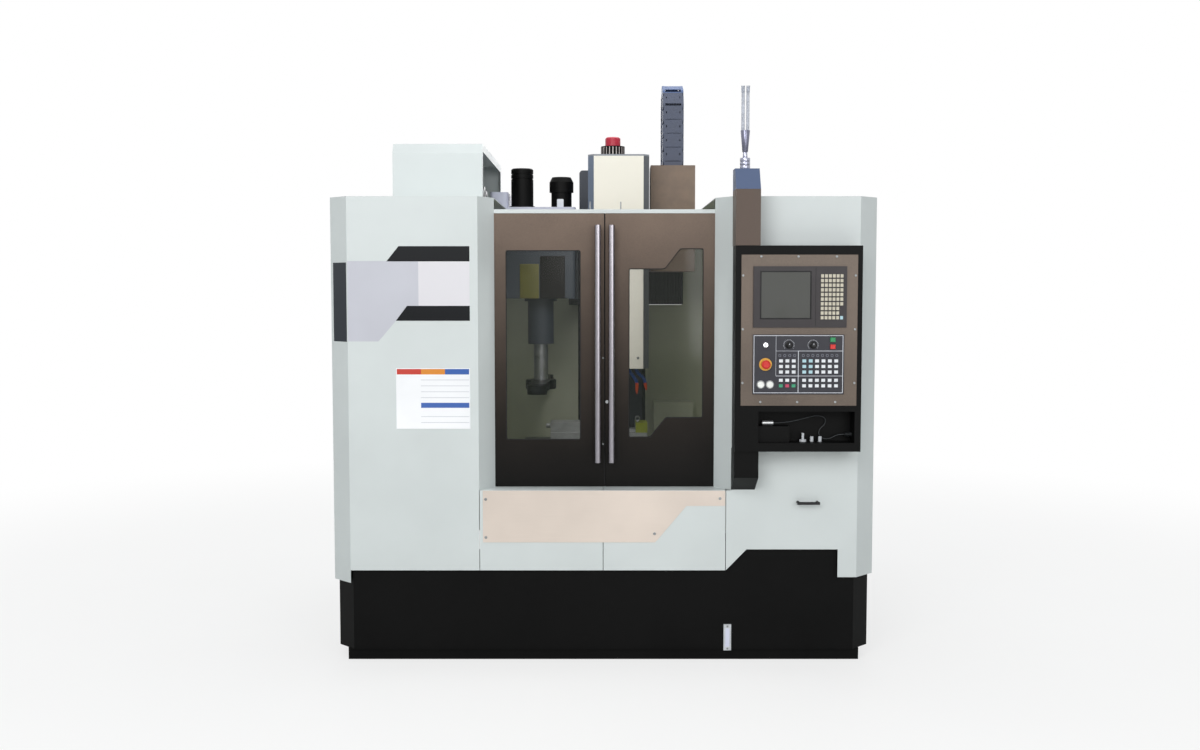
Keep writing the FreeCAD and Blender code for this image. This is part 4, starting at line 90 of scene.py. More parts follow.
class PaintColours(bpy.types.PropertyGroup):
    """Colours of the machine's paints, metals and plastics, and of the painted reflections and shade on some of them.
    """
    cabinet: colour_setting("Cabinet", "Powder coating of the cabinets", "#C9CFCE")
    # The door top's brown is a painted reflection of the warm surroundings on the doors' glossy black enamel
    door_high: colour_setting("Door top", "Hammered paint at the top of the doors", "#6C5E54")
    door_low: colour_setting("Door foot", "Hammered paint at the foot of the doors", "#0F0E0D")
    bronze: colour_setting("Control plate", "Hammered paint of the control box's plate", "#675D55")
    arm: colour_setting("Panel arm", "Paint of the upper panel arm", "#51433A")
    # The slope's slate blue is a painted bluish reflection on the arm's brown enamel
    arm_slope: colour_setting("Arm slope", "Paint of the upper panel arm's slope", "#4F5D7A")
    black: colour_setting("Black parts", "Powder coating of the tank and the control box", "#090909")
    cream: colour_setting("Head cover", "Front of the head's cover", "#F8F4E6")
    # The left side's blue-grey is painted shade with a painted bluish reflection
    cover_side: colour_setting("Cover sides", "Sides of the head's cover", "#727E91")
    lavender: colour_setting("Gear case", "Paint of the tool changer's gear case", "#C9CCDD")
    slate: colour_setting("Column", "Paint of the column and the head", "#343A45")
    cabin: colour_setting("Work space", "Paint of the splash walls", "#CBCEB8")
    stripe: colour_setting("Stripes", "Dark printed stripes on the left cabinet", "#121417")
    band: colour_setting("Band", "Printed band round the left cabinet's corner", "#1B222A")
    field: colour_setting("Field", "Printed silver field between the stripes", "#BDBEC6")
    key_cap: colour_setting("Key caps", "Moulded caps beside the screen", "#C0BAA8")


class FittingSizes(bpy.types.PropertyGroup):
    """Sizes of the small fittings."""
    print_thickness: length_setting("Print", "Thickness of printed film", 0.4)
    gasket_width: length_setting("Window seal", "Visible width of the seal round each pane", 4.5)
    gasket_corner: length_setting("Seal corner", "Corner radius of the window seals", 10)
    screw_radius: length_setting("Panel screw", "Head radius of the panel screws", 5.5)
    kick_screw_radius: length_setting("Plate screw", "Head radius of the kick plate's screws", 7)
    line_width: length_setting("Printed line", "Width of the lines printed on the operator's panel", 2.4)
    tick_length: length_setting("Dial tick", "Length of a tick on a dial", 5)
    ticks: IntProperty(name="Dial ticks", description="Ticks round each dial", default=17, min=5, max=60)
    fan_ribs: IntProperty(name="Fan ribs", description="Ribs round the spindle motor's fan collar", default=22, min=6,
                          max=60)
    pleats: IntProperty(name="Curtain pleats", description="Pleats of the curtain beside the column", default=14,
                        min=4, max=40)


# Materials


def add_node(tree, kind, inputs=None, **settings):
    """Add a node, set its own settings, and fill or link its sockets."""
    item = tree.nodes.new(kind)
    for name, value in settings.items():
        setattr(item, name, value)
    for name, value in (inputs or {}).items():
        if isinstance(value, bpy.types.NodeSocket):
            tree.links.new(value, item.inputs[name])
        else:
            item.inputs[name].default_value = value
    return item


def start_material(name):
    """A material with a cleared node tree, and its object coordinates."""
    material = bpy.data.materials.new(name)
    material.use_nodes = True
    tree = material.node_tree
    tree.nodes.clear()
    return material, tree, add_node(tree, "ShaderNodeTexCoord").outputs["Object"]


def shade(colour, scale):
    """A colour made darker or lighter."""
    return (*(min(1.0, channel * scale) for channel in colour[:3]), 1.0)


def by_place(tree, place, colour, zones):
    """The colour, changed in zones: each is its limits along one axis or more, and its colour."""
    axes = add_node(tree, "ShaderNodeSeparateXYZ", {"Vector": place}).outputs if zones else None
    for limits, other in zones:
        inside = 1.0
        for axis, (low, high) in limits.items():
            within = add_node(tree, "ShaderNodeMath", {0: axes[axis], 1: (low + high) / 2, 2: (high - low) / 2},
                              operation="COMPARE").outputs[0]
            inside = add_node(tree, "ShaderNodeMath", {0: inside, 1: within}, operation="MULTIPLY").outputs[0]
        colour = add_node(tree, "ShaderNodeMix", {"Factor": inside, "A": colour,
                                                  "B": colour_of(other)}, data_type="RGBA").outputs["Result"]
    return colour


def two_tone(tree, level, low, high):
    """A colour between two that follows the level of a pattern."""
    tone = add_node(tree, "ShaderNodeMapRange", {"Value": level, "From Min": 0.35, "From Max": 0.65})
    return add_node(tree, "ShaderNodeMix", {"Factor": tone.outputs["Result"], "A": low, "B": high},
                    data_type="RGBA").outputs["Result"]


def coat(tree, colour, wear, roughness, relief, depth, strength, sockets):
    """Shade a finish: its roughness goes between two ends with the wear, and its relief is depth metres high."""
    rough = add_node(tree, "ShaderNodeMapRange", {"Value": wear, "From Min": 0.3, "From Max": 0.7,
                                                  "To Min": roughness[0], "To Max": roughness[1]})
    bump = add_node(tree, "ShaderNodeBump", {"Height": relief, "Distance": depth, "Strength": strength})
    shader = add_node(tree, "ShaderNodeBsdfPrincipled", {
        "Base Color": colour, "Roughness": rough.outputs["Result"], "Normal": bump.outputs["Normal"], **sockets})
    add_node(tree, "ShaderNodeOutputMaterial", {"Surface": shader.outputs["BSDF"]})


def surface(name, colour, patch, grain, depth, roughness, variation=0.04, fine_share=0.0, spread=0.05,
            stretch=(1, 1, 1), zones=(), **sockets):
    """A finish with broad patches of tone and a fine grain that also gives its relief.

    patch, grain and depth are in millimetres; fine_share is how much of the tone follows the grain.
    """
    material, tree, place = start_material(name)
    patches = add_node(tree, "ShaderNodeTexNoise", {"Vector": place, "Scale": 1000 / patch, "Detail": 3.0})
    drawn = add_node(tree, "ShaderNodeMapping", {"Vector": place, "Scale": stretch})
    fine = add_node(tree, "ShaderNodeTexNoise", {"Vector": drawn.outputs["Vector"], "Scale": 1000 / grain,
                                                 "Detail": 4.0})
    blend = add_node(tree, "ShaderNodeMix", {"Factor": fine_share, "A": patches.outputs["Fac"],
                                             "B": fine.outputs["Fac"]}).outputs["Result"]
    base = two_tone(tree, blend, shade(colour, 1 - variation), shade(colour, 1 + variation))
    coat(tree, by_place(tree, place, base, zones), blend, (max(0.02, roughness - spread), roughness + spread),
         fine.outputs["Fac"], depth / 1000, 0.4, sockets)
    return material


def hammered_enamel(name, low_colour, high_colour, low_z, high_z, rise=1.8):
    """Hammer-finish enamel: shallow round dimples and metal flake, and a tone that deepens towards the foot; on the
    doors the brown top is painted reflection.
    """
    material, tree, place = start_material(name)
    height = add_node(tree, "ShaderNodeSeparateXYZ", {"Vector": place}).outputs["Z"]
    even = add_node(tree, "ShaderNodeMapRange", {"Value": height, "From Min": low_z, "From Max": high_z})
    climb = add_node(tree, "ShaderNodeMath", {0: even.outputs["Result"], 1: rise}, operation="POWER")
    base = add_node(tree, "ShaderNodeMix", {"Factor": climb.outputs[0], "A": low_colour, "B": high_colour},
                    data_type="RGBA")
    # Flake is under 1 mm and the dimples about 3 mm; they are drawn at 3 and 7 mm so that they show
    flake = add_node(tree, "ShaderNodeTexNoise", {"Vector": place, "Scale": 1 / 0.003, "Detail": 3.0})
    patches = add_node(tree, "ShaderNodeTexNoise", {"Vector": place, "Scale": 1 / 0.3, "Detail": 5.0})
    dimples = add_node(tree, "ShaderNodeTexVoronoi", {"Vector": place, "Scale": 1 / 0.007})
    both = add_node(tree, "ShaderNodeMix", {"Factor": 0.55, "A": flake.outputs["Fac"],
                                            "B": patches.outputs["Fac"]}).outputs["Result"]
    fleck = two_tone(tree, both, (0.78, 0.78, 0.78, 1), (1.14, 1.12, 1.1, 1))
    mixed = add_node(tree, "ShaderNodeMix", {"Factor": 1.0, "A": base.outputs["Result"], "B": fleck},
                     data_type="RGBA", blend_type="MULTIPLY")
    coat(tree, mixed.outputs["Result"], both, (0.3, 0.42), dimples.outputs["Distance"], 0.0002, 0.25,
         {"Metallic": 0.25, "Specular IOR Level": 0.15})
    return material


# What each kind of finish gives the eye; sizes in millimetres
# Polyester powder coating, sprayed and baked: satin with orange peel of 2 mm, drawn at 6 mm so that it shows
POWDER = {"patch": 420, "grain": 6, "depth": 0.12, "roughness": 0.42, "variation": 0.025}
# Black powder coating: the same peel with very little sheen
BLACK_POWDER = {"patch": 300, "grain": 6, "depth": 0.12, "roughness": 0.45, "variation": 0.12,
                "Specular IOR Level": 0.09}
# Enamel brushed over a filled iron casting: satin, with the casting's slow unevenness
CASTING = {"patch": 260, "grain": 14, "depth": 0.5, "roughness": 0.46, "variation": 0.1, "fine_share": 0.3}
# Ground cast iron and turned steel: bare metal with fine parallel tool lines and dull oily patches
GROUND = {"patch": 60, "grain": 3, "depth": 0.06, "roughness": 0.36, "variation": 0.16, "fine_share": 0.3,
          "spread": 0.09, "stretch": (0.04, 1, 1), "Metallic": 0.85}
# Brushed stainless sheet: long level streaks 0.2 mm apart, drawn at 1.6 mm, that draw reflections out
BRUSHED = {"patch": 500, "grain": 1.6, "depth": 0.02, "roughness": 0.36, "variation": 0.07, "fine_share": 0.22,
           "stretch": (0.01, 1, 1), "Metallic": 0.55, "Anisotropic": 0.5}
# Drawn stainless tube: satin, with the lines running along it
TUBE = {"patch": 700, "grain": 2, "depth": 0.01, "roughness": 0.27, "fine_share": 0.3,
        "stretch": (1, 1, 0.01), "Metallic": 1.0}
# Chrome plate: a near mirror with faint wipe marks
CHROME = {"patch": 30, "grain": 8, "depth": 0.0, "roughness": 0.12, "variation": 0.02, "Metallic": 1.0}
# Moulded ABS and nylon: an even colour with the fine spark texture of the mould
MOULDED = {"patch": 35, "grain": 1.5, "depth": 0.05, "roughness": 0.42, "variation": 0.05,
           "Specular IOR Level": 0.3}
# Screen-printed polyester film: flat, even ink with a faint grain
PRINTED = {"patch": 240, "grain": 5, "depth": 0.01, "roughness": 0.38, "variation": 0.025, "fine_share": 0.2,
           "Specular IOR Level": 0.3}
# Polycarbonate pane: nearly clear, with a grey-green tint and the light scratches that wiping leaves
PANE = {"patch": 200, "grain": 3, "depth": 0.005, "roughness": 0.05, "variation": 0.05, "fine_share": 0.5,
        "spread": 0.02, "stretch": (1, 1, 0.12), "Alpha": 0.24}


# Modelling


def leave_edit():
    """Go back to object mode."""
    if bpy.context.mode != "OBJECT":
        bpy.ops.object.mode_set(mode="OBJECT")


def start_piece(primitive, **place):
    """Add a primitive, put its place into its mesh, and open it with all of it selected."""
    leave_edit()
    bpy.ops.object.select_all(action="DESELECT")
    primitive(**place)
    bpy.ops.object.transform_apply(location=True, rotation=True, scale=True)
    bpy.ops.object.mode_set(mode="EDIT")
    bpy.ops.mesh.select_mode(type="FACE")
    bpy.ops.mesh.select_all(action="SELECT")
    return bpy.context.object


def start_block(low, high):
    """A block between two corners, open in edit mode."""
    low, high = Vector(low), Vector(high)
    return start_piece(bpy.ops.mesh.primitive_cube_add, size=1, location=(low + high) / 2, scale=high - low)


def start_disc(centre, radius, depth, axis="y", vertices=32, far_radius=None):
    """A round piece from the centre of its near face to depth further along the axis, tapered if asked."""
    turn = {"x": (0, math.pi / 2, 0), "y": (-math.pi / 2, 0, 0), "z": (0, 0, 0)}[axis]
    middle = Vector(centre)
    middle["xyz".index(axis)] += depth / 2
    ends = (radius, radius if far_radius is None else far_radius)
    near, far = ends if depth > 0 else reversed(ends)
    return start_piece(bpy.ops.mesh.primitive_cone_add, vertices=vertices, radius1=near, radius2=far,
                       depth=abs(depth), location=middle, rotation=turn)


def choose(piece, test, kind="FACE"):
    """Select the faces, or the edges, whose middle and direction pass the test."""
    bpy.ops.mesh.select_mode(type=kind)
    bpy.ops.mesh.select_all(action="DESELECT")
    bpy.ops.object.mode_set(mode="OBJECT")
    mesh = piece.data
    if kind == "FACE":
        for face in mesh.polygons:
            face.select = test(face.center, face.normal)
    else:
        for edge in mesh.edges:
            first, last = (mesh.vertices[index].co for index in edge.vertices)
            edge.select = test((first + last) / 2, (last - first).normalized())
    bpy.ops.object.mode_set(mode="EDIT")


def faces_front(middle, normal):
    """Whether a face looks at the operator."""
    return normal.y < -SQUARE


def faces_up(middle, normal):
    """Whether a face looks up."""
    return normal.z > SQUARE


def lies_in_depth(middle, way):
    """Whether a face or an edge points to the front or the back."""
    return abs(way.y) > SQUARE


def push(move):
    """Extrude what is selected by this much."""
    bpy.ops.mesh.extrude_region_move(TRANSFORM_OT_translate={"value": move})


def step_face(piece, test, border, move):
    """Inset the faces that pass the test and move their middle."""
    choose(piece, test)
    bpy.ops.mesh.inset(thickness=border)
    bpy.ops.transform.translate(value=move)


def start_outline(corners, front, back):
    """A plate with an outline of (x, z) corners between two y planes, open in edit mode."""
    piece = start_piece(bpy.ops.mesh.primitive_circle_add, vertices=len(corners), radius=1, fill_type="NGON",
                        rotation=(math.pi / 2, 0, 0))
    for index, (x, z) in enumerate(corners):
        bpy.ops.mesh.select_mode(type="VERT")
        bpy.ops.mesh.select_all(action="DESELECT")
        bpy.ops.object.mode_set(mode="OBJECT")
        vertex = piece.data.vertices[index]
        vertex.select = True
        move = Vector((x, front, z)) - vertex.co
        bpy.ops.object.mode_set(mode="EDIT")
        bpy.ops.transform.translate(value=move)
    bpy.ops.mesh.select_mode(type="FACE")
    bpy.ops.mesh.select_all(action="SELECT")
    push((0, back - front, 0))
    bpy.ops.mesh.select_all(action="SELECT")
    bpy.ops.mesh.normals_make_consistent(inside=False)
    return piece


def open_middle(piece, width):
    """Make the open plate a frame of this width by bridging its two faces' insets."""
    choose(piece, lies_in_depth)
    bpy.ops.mesh.inset(thickness=width, use_even_offset=True)
    bpy.ops.mesh.bridge_edge_loops()
    bpy.ops.mesh.select_all(action="SELECT")
    bpy.ops.mesh.normals_make_consistent(inside=False)
    return piece


def take(piece):
    """Leave edit mode with only this piece selected."""
    leave_edit()
    bpy.ops.object.select_all(action="DESELECT")
    piece.select_set(True)
    bpy.context.view_layer.objects.active = piece


def end_piece(piece, name, body, finish, edge=0.0, segments=2):
    """Round the edges, then name, finish and place the piece on its body."""
    take(piece)
    piece.name = piece.data.name = name
    if edge:
        modifier = piece.modifiers.new("Edges", "BEVEL")
        modifier.width, modifier.segments, modifier.limit_method = edge, segments, "ANGLE"
        bpy.ops.object.modifier_apply(modifier=modifier.name)
    bpy.ops.object.shade_smooth_by_angle(angle=math.radians(32))
    piece.data.materials.clear()
    piece.data.materials.append(FINISHES[finish])
    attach(piece, body)
    return piece


def copy_to(piece, places):
    """Join copies of the open piece, each at (x, y, z) and turned about its y axis by a fourth number."""
    copies = []
    for x, y, z, *turn in places:
        take(piece)
        bpy.ops.object.duplicate(linked=False)
        copy = bpy.context.object
        copy.location, copy.rotation_euler.y = (x, y, z), sum(turn)
        bpy.ops.object.transform_apply(location=True, rotation=True, scale=False)
        copies.append(copy)
    bpy.data.objects.remove(piece, do_unlink=True)
    return join(copies)


def join(pieces):
    """Several pieces made into one."""
    take(pieces[0])
    for piece in pieces:
        piece.select_set(True)
    if len(pieces) > 1:
        bpy.ops.object.join()
    return pieces[0]


def socket_screw(centre, radius, rise):
    """A pan-head screw that faces the operator, with a round socket."""
    screw = start_disc(centre, radius, -rise, "y", 20)
    step_face(screw, faces_front, radius * 0.22, (0, -rise * 0.25, 0))
    bpy.ops.mesh.inset(thickness=radius * 0.3)
    push((0, rise * 0.7, 0))
    return screw


def front_of(node):
    """Where a solid's front is, in y."""
    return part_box(node)[0][1]


def upright_of(node):
    """The x and y of an upright solid's middle, and the z of its foot."""
    low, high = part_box(node)
    return (low[0] + high[0]) / 2, (low[1] + high[1]) / 2, low[2]


def add_object(name, data):
    """An object of the scene that shows this data."""
    item = bpy.data.objects.new(name, data)
    bpy.context.scene.collection.objects.link(item)
    return item


def settings():
    """The colours and sizes of the sidebar."""
    return bpy.context.scene.machine_paint, bpy.context.scene.machine_fittings


FINISHES = {}


class MACHINE_OT_finishes(bpy.types.Operator):
    """Make every finish and give each solid of the machine its own"""
    bl_idname = "machine.finishes"
    bl_label = "Finishes"

    def execute(self, context):
        paint, _ = settings()
        colour = {name: tuple(getattr(paint, name)) for name in paint.__annotations__}
        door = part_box("left_door")
        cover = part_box("head_cover")
        panel = front_of("operator_panel")
        # Finish, its real name, its colour by hex value or by its name in the sidebar, the nodes that wear it, its
        # kind, and what differs from that kind if anything; a zone's limits are the edges of what it colours
        table = (
            ("cabinet", "cabinet_powder_coat", "cabinet",
             "left_cabinet right_cabinet lower_front_panels door_frame electrical_cabinet electrical_door", POWDER),
            # The cabinets' own coat made a tenth lighter for the magazine cover: painted light
            ("magazine", "magazine_powder_coat", shade(colour["cabinet"], 1.1), "magazine_cover", POWDER),
            # Above 2.237 m the upper arm is painted slate blue: a painted bluish reflection on its brown enamel
            ("arm", "brown_arm_enamel", "arm", "panel_arm_upper", POWDER, {
                "variation": 0.07, "Specular IOR Level": 0.3, "zones": [({"Z": (2.237, FAR)}, colour["arm_slope"])]}),
            ("chain_box", "brown_box_enamel", "#7F6D5E", "chain_box", POWDER, {
                "patch": 55, "variation": 0.09, "Specular IOR Level": 0.3}),
            ("black", "black_powder_coat", "black",
             "coolant_tank panel_arm_lower magazine_motor arm_motor spindle_motor", BLACK_POWDER),
            ("control_box", "control_box_powder_coat", "black", "control_box", BLACK_POWDER, {
                "zones": [({"X": (0.912, 1.02), "Y": (-1.253, -1.217), "Z": (1.0712, 1.112)}, "#C9CCD0")]}),
            # The cover's left side is painted blue-grey, painted shade with a painted bluish reflection; its right side
            # is painted dark grey, painted shade; its top is painted grey
            ("cream", "cream_powder_coat", "cream", "head_cover", POWDER, {
                "variation": 0.01, "zones": [
                    ({"X": (cover[0][0] - 0.1, cover[0][0] + 0.031)}, colour["cover_side"]),
                    ({"X": (cover[1][0] - 0.031, cover[1][0] + 0.1)}, "#5A5E63"),
                    ({"Z": (cover[1][2] - 0.009, FAR)}, "#8D9299")]}),
            # Below 2.15 m, inside the enclosure, the gear case is painted dark slate: painted shade, not a paint of its
            # own
            ("lavender", "lavender_enamel", "lavender", "cam_box", POWDER, {
                "depth": 0.02, "zones": [({"Z": (-FAR, 2.15)}, "#3B424B")]}),
            ("slate", "slate_casting_enamel", "slate", "column head_casting", CASTING),
            ("casting", "grey_casting_enamel", "#6D7370", "base_casting saddle", CASTING),
            ("cabin", "splash_wall_enamel", "cabin", "cabin_walls", POWDER, {"variation": 0.08, "roughness": 0.34}),
            ("iron", "ground_cast_iron", "#8B8E8F", "table magazine_disc", GROUND),
            ("vise", "vise_ground_iron", "#A8AAA8", "vise_body", GROUND, {
                "Metallic": 0.3, "zones": [({"X": (0.18, FAR), "Z": (0.991, FAR)}, "#A9B23C")]}),
            ("jaw", "vise_jaw_steel", "#B4B6B4", "vise_jaw", GROUND),
            ("stainless", "brushed_stainless_sheet", "#DACDC2", "kick_plate", BRUSHED),
            ("tube", "drawn_stainless_tube", "#9C989E", "left_door_handle right_door_handle", TUBE),
            ("steel", "turned_steel", "#B5B7B8", "spindle arm_shaft levelling_feet cable_plug", GROUND, {"grain": 1.5}),
            ("gauge", "gauge_steel_and_sight", "#C6C9CD", "level_gauge", GROUND, {
                "Metallic": 0.4, "zones": [({"X": (0.584, 0.604), "Z": (0.07, 0.16)}, "#D7DAEA")]}),
            ("blackened", "blackened_steel", "#2B2C2E", "tool_arm", GROUND, {"grain": 2}),
            ("chrome", "chrome_plate", "#DADBDD", "door_lock key_switch", CHROME),
            ("window", "polycarbonate_pane", "#262A26", "left_window right_window", PANE),
            ("screen", "screen_glass", "#20231B", "display_glass", MOULDED, {
                "patch": 120, "grain": 40, "depth": 0.0, "roughness": 0.14, "variation": 0.12}),
            ("display", "display_bezel_film", "#2E2A2C", "display_unit", MOULDED),
            ("panel", "operator_panel_film", "#2C2C33", "operator_panel", MOULDED, {
                "zones": [({"X": (0.712, 0.774), "Y": (panel - 0.001, panel + 0.0037), "Z": (1.405, 1.467)},
                           "#D9A441")]}),
            ("black_nylon", "black_nylon", "#141416", "cabinet_handle feed_knob spindle_knob change_pot", MOULDED),
            ("chain", "chain_polyamide", "#505667", "cable_chain", MOULDED, {
                "roughness": 0.48, "zones": [({"Z": (2.878, FAR)}, "#4E6188")]}),
            ("bronze", "", None, "panel_plate", None),
            ("door", "", None, "left_door right_door", None),
            ("red", "red_abs", "#C9302B", "emergency_stop red_button main_switch", MOULDED, {"roughness": 0.3}),
            ("crimson", "crimson_abs", "#B92B40", "motor_cap", MOULDED, {"roughness": 0.34}),
            ("green", "green_abs", "#2B8A56", "green_button", MOULDED, {"roughness": 0.3}),
            ("white", "white_abs", "#E6E7E3", "left_round_button right_round_button", MOULDED, {"roughness": 0.34}),
            ("hose", "hose_acetal", "#27529F", "coolant_hoses", MOULDED, {
                "zones": [({"X": (0.12, FAR), "Z": (-FAR, 1.27)}, "#D8542A")]}),
            ("lamp", "lamp_acrylic", "#B4B9C4", "signal_lamp", MOULDED, {
                "patch": 12, "depth": 0.0, "roughness": 0.12, "variation": 0.2, "Alpha": 0.65}),
            ("rubber", "black_rubber", "#101011", "", MOULDED, {"grain": 3, "roughness": 0.6}),
            ("lead", "grey_lead_sheath", "#2E3133", "tray_cable", MOULDED, {"grain": 3, "roughness": 0.4}),
            ("zinc", "zinc_plated_screw", "#8F9293", "", GROUND, {"grain": 1}),
            ("sleeve", "lamp_sleeve_satin", "#77788A", "", TUBE, {"Metallic": 0.7}),
            ("lamp_foot", "turned_lamp_foot", "#A2A4B4", "", TUBE, {"stretch": (1, 1, 30), "Metallic": 0.8}),
            ("rib", "fan_rib_steel", "#A79F9C", "", GROUND, {"grain": 1, "Metallic": 0.5}),
            ("stripe", "dark_printed_stripe", "stripe", "", PRINTED, {"Specular IOR Level": 0.15}),
            ("band", "slate_printed_band", "band", "", PRINTED),
            ("field", "silver_printed_field", "field", "", PRINTED, {"zones": [({"X": (-0.87, -0.6)}, "#D6D4D8")]}),
            ("line", "pale_printed_line", "#D5D8DF", "", PRINTED),
            ("faint_line", "grey_printed_line", "#7B7D88", "", PRINTED),
            ("chart", "printed_chart_board", "#EDEEF0", "", PRINTED, {
                "zones": [({"X": (left, right), "Z": (low, high)}, tint) for left, low, right, high, tint in (
                    (-0.975, 1.379, -0.861, 1.405, "#C5463B"), (-0.861, 1.379, -0.748, 1.405, "#D98B3A"),
                    (-0.748, 1.379, -0.634, 1.405, "#3E62A8"), (-0.862, 1.221, -0.634, 1.245, "#3E62A8"),
                    *((-0.862, rule, -0.634, rule + 0.0022, "#B9BBC2")
                      for rule in (1.15, 1.178, 1.268, 1.296, 1.324, 1.352)))]}),
            *((tint + "_cap", tint + "_key_cap", own, "", MOULDED) for tint, own in (
                ("cream", "key_cap"), ("white", "#D9DCE0"), ("cyan", "#A9C9D2"), ("green", "#3D9470"),
                ("rose", "#B4435F"))),
            ("ochre", "ochre_enamel_plate", "#6E6A20", "", POWDER, {"patch": 60, "variation": 0.12, "depth": 0.02}),
            ("umber", "umber_enamel_plate", "#17120F", "", POWDER, {"depth": 0.02, "Specular IOR Level": 0.15}),
        )
        # Black at the foot and painted brown towards the top: a painted reflection of the warm surroundings on the
        # glossy doors
        FINISHES["door"] = hammered_enamel("door_hammered_enamel", colour["door_low"], colour["door_high"],
                                           door[0][2], door[1][2])
        # The control box's plate is far up a long, even rise, so that its tone hardly changes
        FINISHES["bronze"] = hammered_enamel("bronze_hammered_enamel", shade(colour["bronze"], 0.9),
                                             colour["bronze"], -1.3, 2, 1)
        for finish, name, own, nodes, kind, *changes in table:
            if kind:
                FINISHES[finish] = surface(name, colour_of(colour.get(own, own)), **{**kind, **dict(*changes)})
            for node in nodes.split():
                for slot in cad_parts[node].material_slots:
                    slot.material = FINISHES[finish]
        return {"FINISHED"}


class MACHINE_OT_tray_lead(bpy.types.Operator):
    """Lay the lead in the tray, from its ribbed boot to its plug"""
    bl_idname = "machine.tray_lead"
    bl_label = "Tray lead"

    def execute(self, context):
        route = ((1.124, -1.228, 1.104), (1.1, -1.228, 1.104), (1.077, -1.226, 1.094), (1.052, -1.222, 1.081),
                 (1.022, -1.216, 1.083), (1.006, -1.211, 1.104), (1.014, -1.208, 1.13), (1.038, -1.208, 1.148),
                 (1.04, -1.21, 1.18), (1.004, -1.212, 1.192), (0.96, -1.216, 1.184), (0.915, -1.222, 1.172),
                 (0.868, -1.231, 1.163), (0.826, -1.236, 1.1583), (0.79, -1.236, 1.1583))
        curve = bpy.data.curves.new("tray_lead", "CURVE")
        curve.dimensions = "3D"
        curve.bevel_depth = 0.0025
        curve.bevel_resolution = 4
        curve.resolution_u = 10
        spline = curve.splines.new("NURBS")
        spline.points.add(len(route) - 1)
        for point, place in zip(spline.points, route):
            point.co = (*place, 1)
        spline.order_u = 3
        spline.use_endpoint_u = True
        lead = add_object("tray_lead", curve)
        curve.materials.append(FINISHES["lead"])
        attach(lead, "control_box")
        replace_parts(lead, "tray_cable")
        ribs = [start_disc((1.127 + 0.0046 * index, -1.228, 1.104), 0.0082 + 0.0003 * index, 0.0026, "x", 24)
                for index in range(7)]
        end_piece(join(ribs), "lead_boot_ribs", "control_box", "lead", 0.0008)
        return {"FINISHED"}


class MACHINE_OT_printed_fields(bpy.types.Operator):
    """Print the band, the field and the stripes on the left cabinet, and hang its chart board"""
    bl_idname = "machine.printed_fields"
    bl_label = "Printed fields"

    def execute(self, context):
        _, fit = settings()
        front = front_of("left_cabinet")
        for index, (name, finish, corners) in enumerate((
                ("field_film", "field", ((-1.2035, 1.535), (-1.0601, 1.535), (-0.9776, 1.6315), (-0.9242, 1.7015),
                                         (-0.6295, 1.7015), (-0.6295, 1.9126), (-1.2035, 1.9126))),
                ("stripe_film_high", "stripe", ((-1.0192, 1.9105), (-0.629, 1.9105), (-0.629, 1.982),
                                                (-0.9617, 1.982))),
                ("stripe_film_low", "stripe", ((-0.9776, 1.632), (-0.629, 1.632), (-0.629, 1.7025),
                                               (-0.9242, 1.7025))))):
            film = start_outline(corners, front + 0.0002 - fit.print_thickness - 0.00005 * index, front + 0.0001)
            end_piece(film, name, "machine", finish, 0.0001, 1)
        low, high = 1.2095, 1.2865
        middle = (low + high) / 2
        band = start_piece(bpy.ops.mesh.primitive_cube_add, size=1, rotation=(0, 0, -math.pi / 4),
                           location=(-middle, front + middle - 1.205, 1.7195),
                           scale=((high - low) * math.sqrt(2), 2 * fit.print_thickness, 0.373))
        end_piece(band, "corner_band", "machine", "band", 0.0002, 1)
        board = start_block((-0.979, front - 0.0025, 1.1213), (-0.6295, front + 0.0002, 1.4086))
        choose(board, faces_front)
        bpy.ops.mesh.inset(thickness=0.0035)
        bpy.ops.mesh.inset(thickness=0.0006)
        bpy.ops.transform.translate(value=(0, 0.0009, 0))
        end_piece(board, "chart_board", "machine", "chart", 0.0003, 1)
        return {"FINISHED"}


class MACHINE_OT_door_trim(bpy.types.Operator):
    """Fit the seal between the doors, its bolts and the header's pins"""
    bl_idname = "machine.door_trim"
    bl_label = "Door trim"

    def execute(self, context):
        low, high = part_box("left_door")
        edge, face = high[0], low[1]
        lip, seam = 0.004, 0.0059
        seal = start_block((edge - lip, face + 0.0015, low[2] + 0.002), (edge + seam, face + 0.02, high[2] - 0.001))
        step_face(seal, faces_front, 0.0022, (0, 0.004, 0))
        end_piece(seal, "door_seam_seal", "left_door", "rubber", 0.0006)
        bolts = [socket_screw((-0.0015, face + 0.0002, z), 0.0045, 0.003) for z in (1.4505, 1.0344)]
        end_piece(join(bolts), "door_seam_bolts", "left_door", "zinc", 0.0003)
        pin = start_disc((0, front_of("door_frame") + 0.012, 0), 0.003, 0.053, "z", 16)
        step_face(pin, faces_up, 0.001, (0, 0, 0.002))
        end_piece(copy_to(pin, [(x, 0, 2.143) for x in (-0.064, 0.083)]), "header_pins", "machine", "zinc",
                  0.0004)
        return {"FINISHED"}


class MACHINE_OT_window_seals(bpy.types.Operator):
    """Fit a rounded rubber seal round each pane"""
    bl_idname = "machine.window_seals"
    bl_label = "Window seals"

    def execute(self, context):
        _, fit = settings()
        for side, corners in (
                ("left", ((-0.469, 1.055), (-0.109, 1.055), (-0.109, 1.967), (-0.469, 1.967))),
                ("right", ((0.121, 1.066), (0.227, 1.066), (0.302, 1.161), (0.480, 1.161), (0.480, 1.976),
                           (0.367, 1.976), (0.293, 1.880), (0.121, 1.880)))):
            seal = start_outline(corners, front_of(side + "_door") - 0.0008, front_of(side + "_window") - 0.0002)
            choose(seal, lies_in_depth, "EDGE")
            bpy.ops.mesh.bevel(offset=fit.gasket_corner, segments=5, affect="EDGES")
            open_middle(seal, fit.gasket_width)
            end_piece(seal, side + "_window_seal", side + "_door", "rubber", 0.001)
        return {"FINISHED"}


